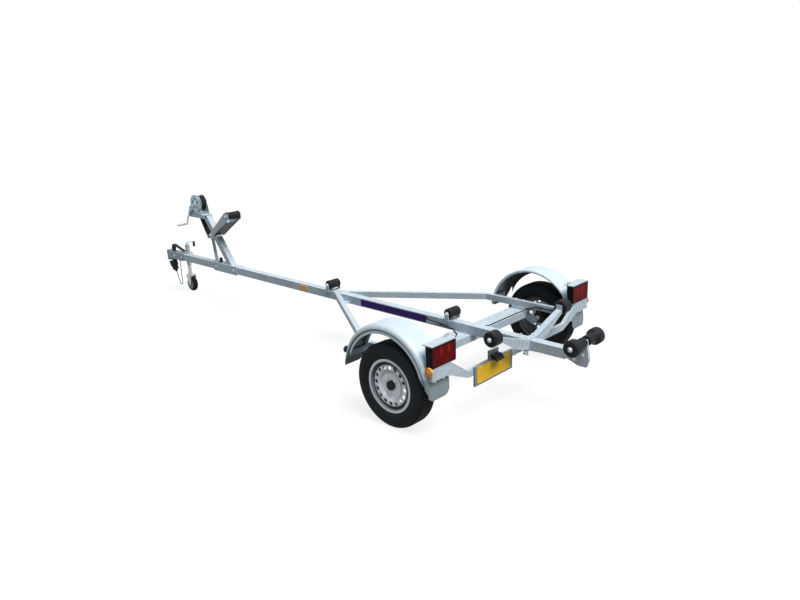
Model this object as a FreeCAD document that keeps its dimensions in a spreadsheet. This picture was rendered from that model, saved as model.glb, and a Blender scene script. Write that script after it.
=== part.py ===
import FreeCAD, Part
import math
import os
import re

import Sketcher
from FreeCAD import Placement, Rotation, Vector

# A single-axle boat trailer with a square draw tube, rollers and a winch post.
# The frame of reference has +X to the coupling, +Y to the left and +Z up. Its
# origin is on the floor, under the middle of the overall length. Lengths in mm.

os.makedirs("parts", exist_ok=True)
doc = FreeCAD.newDocument("boat_trailer")

# Driving dimensions
# "ahead" and "behind" are measured from the axle, "back" from the nose tip,
# and "level" is a height above the floor.
DIMENSIONS = {
    # whole trailer
    "overall_length": 5232,
    "tail_to_axle": 918,
    "seat_gap": 0.3,
    "running_gap": 0.3,
    # draw tube
    "spine_size": 70,
    "spine_wall": 3,
    "spine_bottom_level": 377,
    "spine_end_behind": 740,
    "spine_front_back": 184,
    # coupling
    "head_radius": 46,
    "head_bottom_level": 350,
    "head_top_level": 456,
    "shank_rear_back": 354,
    "shank_wall": 5,
    "ball_radius": 25.2,
    "ball_level": 395,
    "handle_half_width": 14,
    "handle_foot_front_back": 94,
    "handle_foot_rear_back": 129,
    "handle_peak_front_back": 119,
    "handle_peak_rear_back": 154,
    "handle_inner_front_back": 142,
    "handle_inner_rear_back": 167,
    "handle_tip_back": 329,
    "handle_shoulder_level": 503,
    "handle_peak_level": 531,
    "handle_inner_level": 510,
    "handle_tip_top_level": 482,
    "handle_tip_bottom_level": 468,
    # jockey wheel
    "jack_back": 254,
    "jack_stand_off": 45,
    "jack_tube_radius": 24,
    "jack_tube_wall": 3,
    "jack_tube_bottom_level": 296,
    "jack_tube_top_level": 525,
    "jack_clamp_half_length": 25,
    "jack_clamp_bottom_level": 385,
    "jack_clamp_top_level": 440,
    "jack_leg_top_level": 400,
    "jack_bore_top_level": 515,
    "jack_leg_bottom_level": 187,
    "fork_crown_thickness": 12,
    "fork_crown_front": 32,
    "fork_trail": 25,
    "fork_inner_half_width": 30,
    "fork_plate": 6,
    "fork_eye_radius": 18,
    "jack_wheel_radius": 80,
    "jack_wheel_half_width": 25,
    "jack_wheel_edge": 12,
    "jack_pin_radius": 8,
    "jack_crank_top_level": 550,
    "jack_crank_bar": 10,
    "jack_crank_reach": 85,
    "jack_grip_radius": 12,
    "jack_grip_length": 60,
    # winch post
    "foot_rear_back": 1364,
    "foot_front_back": 960,
    "foot_wall": 6,
    "foot_drop": 12,
    "post_back": 1234,
    "post_top_back": 867,
    "post_half_slice": 38,
    "post_half_width": 30,
    "post_wall": 4,
    "post_wall_slice": 5,
    "post_top_level": 925,
    "brace_bottom_back": 974,
    "brace_top_back": 934,
    "brace_slice": 12,
    "brace_half_width": 15,
    "tab_level": 690,
    "tab_plate": 8,
    "tab_front_back": 874,
    "tab_half_width": 27,
    # winch
    "base_rear_back": 888,
    "base_front_back": 587,
    "base_half_width": 50,
    "base_plate": 6,
    "cheek_depth": 32,
    "cheek_plate": 5,
    "slot_front_back": 602,
    "slot_rear_back": 777,
    "slot_half_width": 30,
    "drum_back": 758,
    "drum_level": 1043,
    "drum_shaft_radius": 10,
    "drum_shaft_half_length": 60,
    "drum_flange_radius": 80,
    "drum_flange_inner": 31,
    "drum_flange_plate": 4,
    "gear_radius": 86,
    "gear_inner": 48,
    "gear_plate": 9,
    "strap_roll_radius": 74,
    "strap_half_width": 26,
    "strap_thickness": 5,
    "strap_hook_back": 877,
    "frame_plate_inner": 40,
    "frame_plate": 4,
    "frame_foot_rear_back": 850,
    "frame_foot_front_back": 612,
    "frame_shoulder_rear_back": 836,
    "frame_shoulder_front_back": 634,
    "frame_shoulder_level": 1010,
    "frame_top_rear_back": 800,
    "frame_top_front_back": 722,
    "frame_top_level": 1086,
    "crank_shaft_back": 658,
    "crank_shaft_level": 971,
    "crank_shaft_radius": 9,
    "crank_inner": 64,
    "crank_bar": 9,
    "crank_half_slice": 11,
    "crank_end_back": 575,
    "crank_end_level": 815,
    "crank_grip_radius": 13,
    "crank_grip_length": 105,
    # bow stop
    "bow_plate_inner": 70,
    "bow_plate": 5,
    "bow_tip_rear_back": 1358,
    "bow_tip_front_back": 1290,
    "bow_tip_top_level": 992,
    "bow_tip_bottom_level": 930,
    "bow_root_front_back": 986,
    "bow_root_front_level": 747,
    "bow_root_rear_back": 1018,
    "bow_root_rear_level": 716,
    "bow_web_front_back": 1064,
    "bow_web_front_level": 738,
    "bow_web_rear_back": 1292,
    "bow_web_rear_level": 893,
    "bow_web_thickness": 6,
    "bow_bush_back": 1018,
    "bow_bush_level": 745,
    "bow_bush_radius": 14,
    "bow_pad_back": 1324,
    "bow_pad_level": 964,
    "bow_pad_radius": 40,
    "bow_pad_waist": 37,
    "bow_pad_waist_half": 24,
    # side rails
    "rail_to_wheel": 174,
    "rail_width": 40,
    "rail_height": 50,
    "rail_wall": 3,
    "rail_wall_slant": 5.4,
    "rail_end_behind": 215,
    "rail_bend_outer_ahead": 436,
    "rail_bend_inner_ahead": 424,
    "rail_apex_front_ahead": 1503,
    "rail_apex_rear_ahead": 1430,
    "gusset_plate": 6,
    "gusset_front_ahead": 1503,
    "gusset_rear_ahead": 1300,
    "gusset_reach": 95,
    # axle
    "cross_rear_ahead": 30,
    "cross_front_ahead": 181,
    "cross_depth": 57,
    "cross_wall": 4,
    "cross_to_wheel": 129,
    "seat_rear_ahead": 45,
    "seat_front_ahead": 165,
    "seat_width": 55,
    "axle_ahead": 105,
    "axle_size": 60,
    "arm_plate": 24,
    "arm_upper_radius": 38,
    "arm_lower_radius": 32,
    "stub_radius": 20,
    "stub_past_middle": 30,
    # wheel
    "tyre_radius": 288,
    "tyre_half_width": 76,
    "wheel_track_half": 874,
    "rim_flange_radius": 182.5,
    "rim_half_width": 62,
    "rim_flange_thickness": 5,
    "bead_radius": 168,
    "well_radius": 148,
    "well_outer": 4,
    "well_inner": -26,
    "well_slope": 14,
    "rim_skin": 4,
    "dish_root": 22,
    "dish_brow": 52,
    "dish_brow_outer_radius": 140,
    "dish_brow_inner_radius": 110,
    "dish_step": 44,
    "dish_step_radius": 92,
    "dish_face": 39,
    "dish_face_radius": 80,
    "dish_plate": 5,
    "rim_bore": 33,
    "vent_circle": 125,
    "vent_radius": 14,
    "vent_count": 16,
    "tyre_shoulder_radius": 281,
    "tyre_shoulder": 60,
    "tyre_tread_half": 46,
    "tyre_wall_top_radius": 256,
    "tyre_wall_top": 73,
    "tyre_wall_low_radius": 205,
    "tyre_wall_low": 70,
    "tyre_foot": 56.5,
    "hub_flange_radius": 70,
    "hub_flange_plate": 12,
    "hub_radius": 42,
    "hub_nose_radius": 32.7,
    "hub_nose": 46,
    "hub_rear": -52,
    "cap_radius": 32,
    "cap_end": 60,
    "cap_edge": 6,
    # fender
    "fender_ahead": 30,
    "fender_level": 314,
    "fender_radius": 384,
    "fender_skin": 3,
    "fender_reach": 78,
    "fender_width": 195,
    "fender_shoulder": 34,
    "fender_shoulder_drop": 32,
    "fender_groove": 6,
    "fender_groove_drop": 39,
    "fender_lip_drop": 46,
    "fender_lip": 61,
    "fender_sweep_degrees": 183.1,
    "fender_lean_degrees": 4.05,
    "fender_round": 50,
    "fender_front_round": 30,
    "fender_taper_height": 140,
    "fender_taper_inner": 78,
    "fender_taper_outer": 12,
    "stay_reach": 354,
    "stay_plate": 8,
    "stay_bottom_level": 392,
    "stay_top_level": 432,
    "wedge_inner": 23,
    "wedge_width": 40,
    "wedge_bottom_level": 425,
    "wedge_top_level": 485,
    # light beam and lights
    "beam_rear_behind": 372,
    "beam_depth": 27,
    "beam_wall": 4,
    "beam_end_top_level": 495,
    "beam_end_bottom_level": 415,
    "beam_end_length": 178,
    "beam_end_low_length": 152,
    "beam_crank_length": 170,
    "beam_crank_low_length": 203,
    "beam_middle_depth": 50,
    "light_width": 228,
    "light_top_level": 636,
    "light_depth": 38,
    "bracket_plate": 4,
    "hood_thickness": 6,
    "hood_depth": 78,
    "hood_tab_rise": 28,
    "hood_tab_width": 42,
    "lens_thickness": 12,
    "lens_inset": 4,
    "marker_radius": 30,
    "marker_thickness": 12,
    "marker_behind": 350,
    "marker_level": 477,
    "reflector_length": 90,
    "reflector_height": 44,
    "reflector_thickness": 7,
    "reflector_ahead": 1916,
    "front_lamp_radius": 24,
    "front_lamp_inset": 27,
    "front_lamp_level": 447,
    "front_lamp_end_ahead": 404,
    "front_lamp_root_ahead": 330,
    "front_lamp_bed": 60,
    # number plate
    "plate_inner": 142,
    "plate_width": 370,
    "plate_bottom_level": 264,
    "plate_height": 118,
    "plate_thickness": 2,
    "holder_inner_margin": 30,
    "holder_outer_margin": 22,
    "holder_bottom_margin": 14,
    "holder_top_margin": 4,
    "holder_thickness": 14,
    "holder_tab_half_width": 52,
    "holder_tab_top_level": 452,
    "plate_lamp_half_width": 41,
    "plate_lamp_bottom_level": 386,
    "plate_lamp_top_level": 424,
    "plate_lamp_depth": 52,
    "plate_lamp_slope": 22,
    # keel rollers on the draw tube
    "keel_front_ahead": 1554,
    "keel_middle_ahead": 226,
    "keel_roller_level": 505,
    "keel_roller_radius": 38,
    "keel_roller_half": 60,
    "keel_roller_edge": 6,
    "keel_plate": 5,
    "keel_plate_half": 16,
    "keel_plate_inner": 65,
    "keel_pin_radius": 9,
    "keel_pin_half": 77,
    # rear roller
    "rear_roller_radius": 56,
    "rear_roller_level": 514,
    "rear_waist_radius": 36,
    "rear_roller_inner": 18,
    "rear_waist_end": 96,
    "rear_cone_end": 122,
    "rear_roller_half": 180,
    "rear_roller_edge": 8,
    "rear_pin_radius": 10,
    "rear_pin_half": 188,
    "rear_web_half": 12,
    "rear_cap_plate": 6,
    "rear_web_low_level": 345,
    "rear_web_low_front_behind": 830,
    "rear_web_low_rear_behind": 888,
    "rear_web_knee_behind": 904,
    "rear_web_knee_level": 400,
    "rear_web_top_level": 532,
    "rear_web_top_half": 20,
    # side rollers and their arms
    "cradle_rear_behind": 475,
    "cradle_depth": 45,
    "cradle_plate": 5,
    "cradle_middle_level": 457,
    "cradle_flat_side": 60,
    "cradle_end_side": 374,
    "cradle_end_level": 561,
    "cradle_end_bottom_level": 533,
    "cradle_knee_side": 190,
    "cradle_knee_level": 428,
    "cradle_foot_side": 110,
    "cradle_foot_level": 398,
    "cradle_heel_level": 378,
    "cradle_end_plate": 6,
    "cradle_end_plate_top_level": 592,
    "cradle_end_plate_bottom_level": 532,
    "cradle_pin_level": 570,
    "cradle_pin_radius": 11,
    "cradle_pin_end": 478,
    "cradle_roller_radius": 52,
    "cradle_roller_inner": 388,
    "cradle_roller_outer": 472,
    "cradle_roller_edge": 8,
    "clamp_bolt_radius": 5,
    "clamp_bolt_side": 46,
    "clamp_bolt_inset": 11,
    "clamp_bolt_bottom_level": 350,
    "clamp_plate": 6,
    "clamp_plate_half_width": 58,
    # parked plug and wiring
    "plug_tail_back": 168,
    "plug_tail_level": 227.5,
    "plug_length": 130,
    "plug_lean_degrees": 22,
    "plug_stem_bottom_level": 315,
    "plug_side": 30,
    "plug_holder_radius": 42,
    "plug_holder_depth": 58,
    "plug_radius": 33,
    "plug_gland_length": 26,
    "plug_gland_radius": 10,
    "plug_gland_root_radius": 22,
    "plug_stem_front_back": 132,
    "plug_stem_rear_back": 154,
    "plug_stem_half_width": 12,
    "lead_radius": 4,
    "lead_run": 10,
    "lead_end_back": 269,
    "grommet_radius": 9,
    "grommet_depth": 8,
    "cable_radius": 4,
    "cable_exit_ahead": 449,
    "cable_exit_level": 423,
    "cable_exit_reach": 16,
    "cable_clip_ahead": 310,
    "cable_clip_level": 403,
    "cable_drop_ahead": 190,
    "cable_drop_rise": 6,
    "cable_turn_ahead": 112,
    "cable_turn_side": 92,
    "cable_edge_ahead": 43,
    "cable_edge_side": 215,
    "cable_leave_inset": 60,
    "cable_rise_inset": 8,
    "cable_rise_ahead": 5,
    "cable_rise_level": 398,
    "cable_rail_ahead": -60,
    "cable_rail_level": 422,
    "cable_rail_end": -242,
    "cable_light_inset": 14,
    "cable_light_run": 38,
    "cable_light_level": 520,
    "cable_bend_radius": 45,
}

sheet = doc.addObject("Spreadsheet::Sheet", "Dims")
for row, (alias, size) in enumerate(DIMENSIONS.items(), start=1):
    sheet.set(f"A{row}", alias)
    sheet.set(f"B{row}", str(size))
    sheet.setAlias(f"B{row}", alias)
doc.recompute()

# Places that many pieces share
AXLE = "(tail_to_axle - overall_length / 2)"
NOSE = "(overall_length / 2)"
SPINE_TOP = "(spine_bottom_level + spine_size)"
SPINE_SIDE = "(spine_size / 2)"
FOOT_TOP = f"({SPINE_TOP} + seat_gap + foot_wall)"
RAIL_BOTTOM = f"({SPINE_TOP} - rail_height)"
RAIL_INNER = "(wheel_track_half - rail_to_wheel)"
RAIL_OUTER = f"({RAIL_INNER} + rail_width)"
CROSS_END = "(wheel_track_half - cross_to_wheel)"
FENDER_OUTER = "(wheel_track_half + fender_reach)"
FENDER_INNER = f"({FENDER_OUTER} - fender_width)"
BEAM_END = f"({FENDER_OUTER} - marker_thickness)"
BEAM_REAR = f"({AXLE} - beam_rear_behind)"
FENDER_AT = (f"({AXLE} + fender_ahead)", "0", "fender_level")
FENDER_WALL = "(fender_groove + 2 * fender_skin)"
LIGHT_INNER = f"({BEAM_END} - light_width)"
LIGHT_FRONT = f"({BEAM_REAR} + lens_thickness + light_depth)"
QUARTER_TURN = 90
SHANK_SIDE = f"({SPINE_SIDE} + seat_gap + shank_wall)"
SHANK_TOP = f"({SPINE_TOP} + seat_gap + shank_wall)"
JACK_X = f"({NOSE} - jack_back)"
JACK_Y = f"(-{SHANK_SIDE} - jack_stand_off)"
POST_LEAN = f"((post_back - post_top_back) / (post_top_level - {FOOT_TOP}))"
BASE_TOP = "(post_top_level + base_plate)"
REAR_ROLLER_X = "(rear_roller_radius - overall_length / 2)"
CRADLE_X = f"({AXLE} - cradle_rear_behind + cradle_depth / 2)"
AXLE_LEVEL = f"({SPINE_TOP} - spine_size - cross_wall - axle_size / 2)"

finished = []


def bound(text):
    """Write a size so that every alias in it points at the sheet."""
    return re.sub(r"[a-z]\w*", lambda word: "Dims." + word.group(), text)


def number(text):
    """The present value of a size, in mm or degrees."""
    return float(sheet.evalExpression(bound(text)))


def bind(target, **sizes):
    for name, text in sizes.items():
        target.setExpression(name, bound(text))


def place(target, x="0", y="0", z="0", turn=None):
    target.Placement = Placement(Vector(number(x), number(y), number(z)), turn or Rotation())
    for axis, text in (("x", x), ("y", y), ("z", z)):
        target.setExpression(f"Placement.Base.{axis}", bound(text))


def node(label, shape):
    """Mark an object as one piece of the trailer, written to its own file."""
    shape.Label = label
    finished.append(shape)
    return shape


# Plain solids
def block(name, x, y, z):
    """A box between pairs of planes."""
    solid = doc.addObject("Part::Box", name)
    bind(solid, Length=f"{x[1]} - ({x[0]})", Width=f"{y[1]} - ({y[0]})", Height=f"{z[1]} - ({z[0]})")
    place(solid, x[0], y[0], z[0])
    return solid


def mid_block(name, x, half_width, z):
    """A box that is centred on the trailer's middle plane."""
    return block(name, x, (f"-({half_width})", half_width), z)


TURNS = {
    "x": Rotation(Vector(0, 1, 0), 90),
    "y": Rotation(Vector(1, 0, 0), -90),
    "z": Rotation(),
}


def rod(name, axis, radius, ends, at):
    """A cylinder along an axis, between two planes; at holds its other two places."""
    solid = doc.addObject("Part::Cylinder", name)
    bind(solid, Radius=radius, Height=f"{ends[1]} - ({ends[0]})")
    where = dict(zip([key for key in "xyz" if key != axis], at))
    where[axis] = ends[0]
    place(solid, where["x"], where["y"], where["z"], TURNS[axis])
    return solid


def cut(name, base, *tools):
    result = doc.addObject("Part::Cut", name)
    result.Base = base
    result.Tool = tools[0] if len(tools) == 1 else fuse(name + "_tools", *tools)
    return result


def fuse(name, *pieces):
    result = doc.addObject("Part::MultiFuse", name)
    result.Shapes = list(pieces)
    result.Refine = True
    return result


def mirrored(name, source):
    """The same piece on the other side of the middle plane."""
    result = doc.addObject("Part::Mirroring", name)
    result.Source = source
    result.Base = Vector(0, 0, 0)
    result.Normal = Vector(0, 1, 0)
    return result


def pair(name, source):
    return fuse(name, source, mirrored(name + "_other", source))


# Drawn solids
def outline(body, plane, corners, offset):
    """A closed outline on one of the body's own planes, each corner bound to the sheet."""
    sketch = body.newObject("Sketcher::SketchObject", body.Name + "_outline")
    support = [face for face in body.Origin.OriginFeatures if face.Role == plane + "_Plane"][0]
    sketch.AttachmentSupport = [(support, "")]
    sketch.MapMode = "FlatFace"
    points = [Vector(number(u), number(v), 0) for u, v in corners]
    for index, point in enumerate(points):
        sketch.addGeometry(Part.LineSegment(point, points[(index + 1) % len(points)]), False)
    for index in range(len(points)):
        joint = Sketcher.Constraint("Coincident", index, 2, (index + 1) % len(points), 1)
        sketch.addConstraint(joint)
    for index, corner in enumerate(corners):
        for kind, text, axis in (("DistanceX", corner[0], -2), ("DistanceY", corner[1], -1)):
            if text == "0":
                sketch.addConstraint(Sketcher.Constraint("PointOnObject", index, 1, axis))
                continue
            size = Sketcher.Constraint(kind, -1, 1, index, 1, number(text))
            at = sketch.addConstraint(size)
            sketch.setExpression(f"Constraints[{at}]", bound(text))
    sketch.setExpression("AttachmentOffset.Base.z", bound(offset))
    return sketch


def both_sides(upper, lower):
    """A closed outline across the trailer, from the left half's two edges."""
    other_upper = [(f"-({across})", level) for across, level in reversed(upper)]
    other_lower = [(f"-({across})", level) for across, level in reversed(lower)]
    return upper + other_upper + other_lower + lower


def sheet_offset(plane, low, high):
    """An XZ outline looks along -Y, so it is drawn on its high side."""
    return f"-({high})" if plane == "XZ" else low


def prism(name, plane, corners, low, high):
    """An outline carried straight between two planes."""
    body = doc.addObject("PartDesign::Body", name)
    pad = body.newObject("PartDesign::Pad", name + "_pad")
    pad.Profile = outline(body, plane, corners, sheet_offset(plane, low, high))
    bind(pad, Length=f"{high} - ({low})")
    return body


def turned(name, corners, at, sweep=None, lean=0):
    """An outline of (side, radius) corners turned about a cross-wise axis."""
    body = doc.addObject("PartDesign::Body", name)
    feature = body.newObject("PartDesign::Revolution", name + "_turned")
    feature.Profile = outline(body, "YZ", corners, "0")
    feature.ReferenceAxis = (feature.Profile[0], ["H_Axis"])
    feature.Midplane = True
    if sweep:
        bind(feature, Angle=sweep)
    else:
        feature.Angle = 360
    place(body, at[0], at[1], at[2], Rotation(Vector(0, 1, 0), lean))
    return body


# Draw tube and coupling
def spine_tube():
    length = (f"{AXLE} - spine_end_behind", f"{NOSE} - spine_front_back")
    outer = mid_block("spine_outer", length, SPINE_SIDE, ("spine_bottom_level", SPINE_TOP))
    inner_z = ("spine_bottom_level + spine_wall", f"{SPINE_TOP} - spine_wall")
    inner = mid_block("spine_hollow", length, f"{SPINE_SIDE} - spine_wall", inner_z)
    node("draw_tube", cut("draw_tube", outer, inner))


def coupling():
    head_x = f"{NOSE} - head_radius"
    shank_z = ("spine_bottom_level - seat_gap - shank_wall", SHANK_TOP)
    shank = mid_block("coupling_shank", (f"{NOSE} - shank_rear_back", head_x), SHANK_SIDE, shank_z)
    head = rod("coupling_head", "z", "head_radius", ("head_bottom_level", "head_top_level"), (head_x, "0"))
    sleeve_x = (f"{NOSE} - shank_rear_back", f"{NOSE} - spine_front_back + seat_gap")
    sleeve_z = ("spine_bottom_level - seat_gap", f"{SPINE_TOP} + seat_gap")
    sleeve = mid_block("coupling_sleeve", sleeve_x, f"{SPINE_SIDE} + seat_gap", sleeve_z)
    throat = rod("ball_throat", "z", "ball_radius", ("head_bottom_level", "ball_level"), (head_x, "0"))
    ball = doc.addObject("Part::Sphere", "ball_socket")
    bind(ball, Radius="ball_radius")
    place(ball, head_x, "0", "ball_level")
    shell = fuse("coupling_shell", shank, head)
    node("coupling", cut("coupling", shell, sleeve, throat, ball))


def coupling_handle():
    corners = [
        (f"{NOSE} - handle_foot_front_back", SHANK_TOP),
        (f"{NOSE} - handle_foot_front_back", "handle_shoulder_level"),
        (f"{NOSE} - handle_peak_front_back", "handle_peak_level"),
        (f"{NOSE} - handle_peak_rear_back", "handle_peak_level"),
        (f"{NOSE} - handle_tip_back", "handle_tip_top_level"),
        (f"{NOSE} - handle_tip_back", "handle_tip_bottom_level"),
        (f"{NOSE} - handle_inner_rear_back", "handle_inner_level"),
        (f"{NOSE} - handle_inner_front_back", "handle_inner_level"),
        (f"{NOSE} - handle_foot_rear_back", SHANK_TOP),
    ]
    half = "handle_half_width"
    node("coupling_handle", prism("coupling_handle", "XZ", corners, f"-{half}", half))


# Jockey wheel, on the right of the coupling
def jack():
    centre = (JACK_X, JACK_Y)
    tube_z = ("jack_tube_bottom_level", "jack_tube_top_level")
    tube = rod("jack_tube_outer", "z", "jack_tube_radius", tube_z, centre)
    clamp_x = (f"{JACK_X} - jack_clamp_half_length", f"{JACK_X} + jack_clamp_half_length")
    clamp_z = ("jack_clamp_bottom_level", "jack_clamp_top_level")
    clamp = block("jack_clamp", clamp_x, (JACK_Y, f"-{SHANK_SIDE}"), clamp_z)
    bore_z = ("jack_tube_bottom_level", "jack_bore_top_level")
    bore = rod("jack_tube_bore", "z", "jack_tube_radius - jack_tube_wall", bore_z, centre)
    node("jack_tube", cut("jack_tube", fuse("jack_tube_body", tube, clamp), bore))
    leg_z = ("jack_leg_bottom_level", "jack_leg_top_level")
    leg_radius = "jack_tube_radius - jack_tube_wall - running_gap"
    node("jack_leg", rod("jack_leg", "z", leg_radius, leg_z, centre))
    jack_fork()
    jack_wheel()
    jack_crank(centre)


def jack_fork():
    wheel_x = f"({JACK_X} - fork_trail)"
    crown_top = "(jack_leg_bottom_level - running_gap)"
    crown_bottom = f"({crown_top} - fork_crown_thickness)"
    outer = "(fork_inner_half_width + fork_plate)"
    crown_x = (f"{wheel_x} - fork_crown_front", f"{JACK_X} + fork_crown_front")
    crown_y = (f"{JACK_Y} - {outer}", f"{JACK_Y} + {outer}")
    crown = block("fork_crown", crown_x, crown_y, (crown_bottom, crown_top))
    corners = [
        (f"{wheel_x} - fork_crown_front", crown_bottom),
        (f"{wheel_x} - fork_eye_radius", "jack_wheel_radius"),
        (f"{wheel_x} + fork_eye_radius", "jack_wheel_radius"),
        (f"{JACK_X} + fork_crown_front", crown_bottom),
    ]
    pieces = [crown]
    for side, sign in (("left", ""), ("right", "-")):
        ends = sorted((f"{JACK_Y} + {sign}fork_inner_half_width", f"{JACK_Y} + {sign}{outer}"), key=number)
        pieces.append(prism(f"fork_leg_{side}", "XZ", corners, *ends))
        pieces.append(rod(f"fork_eye_{side}", "y", "fork_eye_radius", ends, (wheel_x, "jack_wheel_radius")))
    pin_y = (f"{JACK_Y} - {outer}", f"{JACK_Y} + {outer}")
    pieces.append(rod("fork_pin", "y", "jack_pin_radius", pin_y, (wheel_x, "jack_wheel_radius")))
    node("jack_fork", fuse("jack_fork", *pieces))


def jack_wheel():
    bore = "jack_pin_radius + running_gap"
    flat = "jack_wheel_half_width - jack_wheel_edge"
    corners = [
        ("-jack_wheel_half_width", bore),
        ("-jack_wheel_half_width", "jack_wheel_radius - jack_wheel_edge"),
        (f"-({flat})", "jack_wheel_radius"),
        (flat, "jack_wheel_radius"),
        ("jack_wheel_half_width", "jack_wheel_radius - jack_wheel_edge"),
        ("jack_wheel_half_width", bore),
    ]
    at = (f"{JACK_X} - fork_trail", JACK_Y, "jack_wheel_radius")
    node("jack_wheel", turned("jack_wheel", corners, at))


def jack_crank(centre):
    shaft_z = ("jack_tube_top_level", "jack_crank_top_level")
    shaft = rod("jack_crank_shaft", "z", "jack_pin_radius", shaft_z, centre)
    bar_x = (f"{JACK_X} - jack_crank_bar", f"{JACK_X} + jack_crank_bar")
    bar_y = (f"{JACK_Y} - jack_crank_reach", JACK_Y)
    bar_z = ("jack_crank_top_level - jack_crank_bar", "jack_crank_top_level")
    bar = block("jack_crank_arm", bar_x, bar_y, bar_z)
    grip_z = ("jack_crank_top_level - jack_grip_length", "jack_crank_top_level")
    grip = rod("jack_crank_grip", "z", "jack_grip_radius", grip_z, (JACK_X, f"{JACK_Y} - jack_crank_reach"))
    node("jack_crank", fuse("jack_crank", shaft, bar, grip))


# Winch post
def post_face(level, side):
    """The post's front or rear face at a height."""
    middle = f"{NOSE} - post_back + ({level} - {FOOT_TOP}) * {POST_LEAN}"
    return f"({middle} {side} post_half_slice)"


def post_foot():
    x = (f"{NOSE} - foot_rear_back", f"{NOSE} - foot_front_back")
    low = "spine_bottom_level - foot_drop"
    outer = mid_block("foot_outer", x, f"{SPINE_SIDE} + seat_gap + foot_wall", (low, FOOT_TOP))
    inner = mid_block("foot_hollow", x, f"{SPINE_SIDE} + seat_gap", (low, f"{SPINE_TOP} + seat_gap"))
    node("post_foot", cut("post_foot", outer, inner))


def post():
    def slice_corners(inset):
        return [
            (f"{post_face(FOOT_TOP, '-')} + {inset}", FOOT_TOP),
            (f"{post_face(FOOT_TOP, '+')} - {inset}", FOOT_TOP),
            (f"{post_face('post_top_level', '+')} - {inset}", "post_top_level"),
            (f"{post_face('post_top_level', '-')} + {inset}", "post_top_level"),
        ]

    half = "post_half_width"
    outer = prism("post_outer", "XZ", slice_corners("0"), f"-{half}", half)
    inner_half = "(post_half_width - post_wall)"
    inner = prism("post_hollow", "XZ", slice_corners("post_wall_slice"), f"-{inner_half}", inner_half)
    node("winch_post", cut("winch_post", outer, inner))


def post_brace():
    tab_top = "(tab_level + tab_plate)"
    tab_corners = [
        (f"{post_face('tab_level', '+')} + seat_gap", "tab_level"),
        (f"{NOSE} - tab_front_back", "tab_level"),
        (f"{NOSE} - tab_front_back", tab_top),
        (f"{post_face(tab_top, '+')} + seat_gap", tab_top),
    ]
    tab = prism("brace_tab", "XZ", tab_corners, "-tab_half_width", "tab_half_width")
    bar_corners = [
        (f"{NOSE} - brace_bottom_back", FOOT_TOP),
        (f"{NOSE} - brace_bottom_back + brace_slice", FOOT_TOP),
        (f"{NOSE} - brace_top_back + brace_slice", "tab_level"),
        (f"{NOSE} - brace_top_back", "tab_level"),
    ]
    bar = prism("brace_bar", "XZ", bar_corners, "-brace_half_width", "brace_half_width")
    node("post_brace", fuse("post_brace", tab, bar))


# Winch
def winch_base():
    x = (f"{NOSE} - base_rear_back", f"{NOSE} - base_front_back")
    plate = mid_block("base_plate", x, "base_half_width", ("post_top_level", BASE_TOP))
    cheek_y = ("base_half_width - cheek_plate", "base_half_width")
    cheek = block("base_cheek", x, cheek_y, ("post_top_level - cheek_depth", "post_top_level"))
    slot_x = (f"{NOSE} - slot_rear_back", f"{NOSE} - slot_front_back")
    slot = mid_block("base_slot", slot_x, "slot_half_width", ("post_top_level", BASE_TOP))
    node("winch_base", cut("winch_base", fuse("base_body", plate, pair("base_cheeks", cheek)), slot))


def winch_frame():
    corners = [
        (f"{NOSE} - frame_foot_rear_back", BASE_TOP),
        (f"{NOSE} - frame_foot_front_back", BASE_TOP),
        (f"{NOSE} - frame_shoulder_front_back", "frame_shoulder_level"),
        (f"{NOSE} - frame_top_front_back", "frame_top_level"),
        (f"{NOSE} - frame_top_rear_back", "frame_top_level"),
        (f"{NOSE} - frame_shoulder_rear_back", "frame_shoulder_level"),
    ]
    plate_y = ("frame_plate_inner", "frame_plate_inner + frame_plate")
    plate = prism("winch_side", "XZ", corners, *plate_y)
    drum_at = (f"{NOSE} - drum_back", "drum_level")
    crank_at = (f"{NOSE} - crank_shaft_back", "crank_shaft_level")
    drum_hole = rod("drum_hole", "y", "drum_shaft_radius + running_gap", plate_y, drum_at)
    crank_hole = rod("crank_hole", "y", "crank_shaft_radius + running_gap", plate_y, crank_at)
    node("winch_frame", pair("winch_frame", cut("winch_side_bored", plate, drum_hole, crank_hole)))


def winch_drum():
    at = (f"{NOSE} - drum_back", "drum_level")
    shaft_y = ("-drum_shaft_half_length", "drum_shaft_half_length")
    shaft = rod("drum_shaft", "y", "drum_shaft_radius", shaft_y, at)
    flange_y = ("drum_flange_inner", "drum_flange_inner + drum_flange_plate")
    flange = rod("drum_flange", "y", "drum_flange_radius", flange_y, at)
    gear = rod("drum_gear", "y", "gear_radius", ("gear_inner", "gear_inner + gear_plate"), at)
    node("winch_drum", fuse("winch_drum", shaft, pair("drum_flanges", flange), gear))


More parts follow.
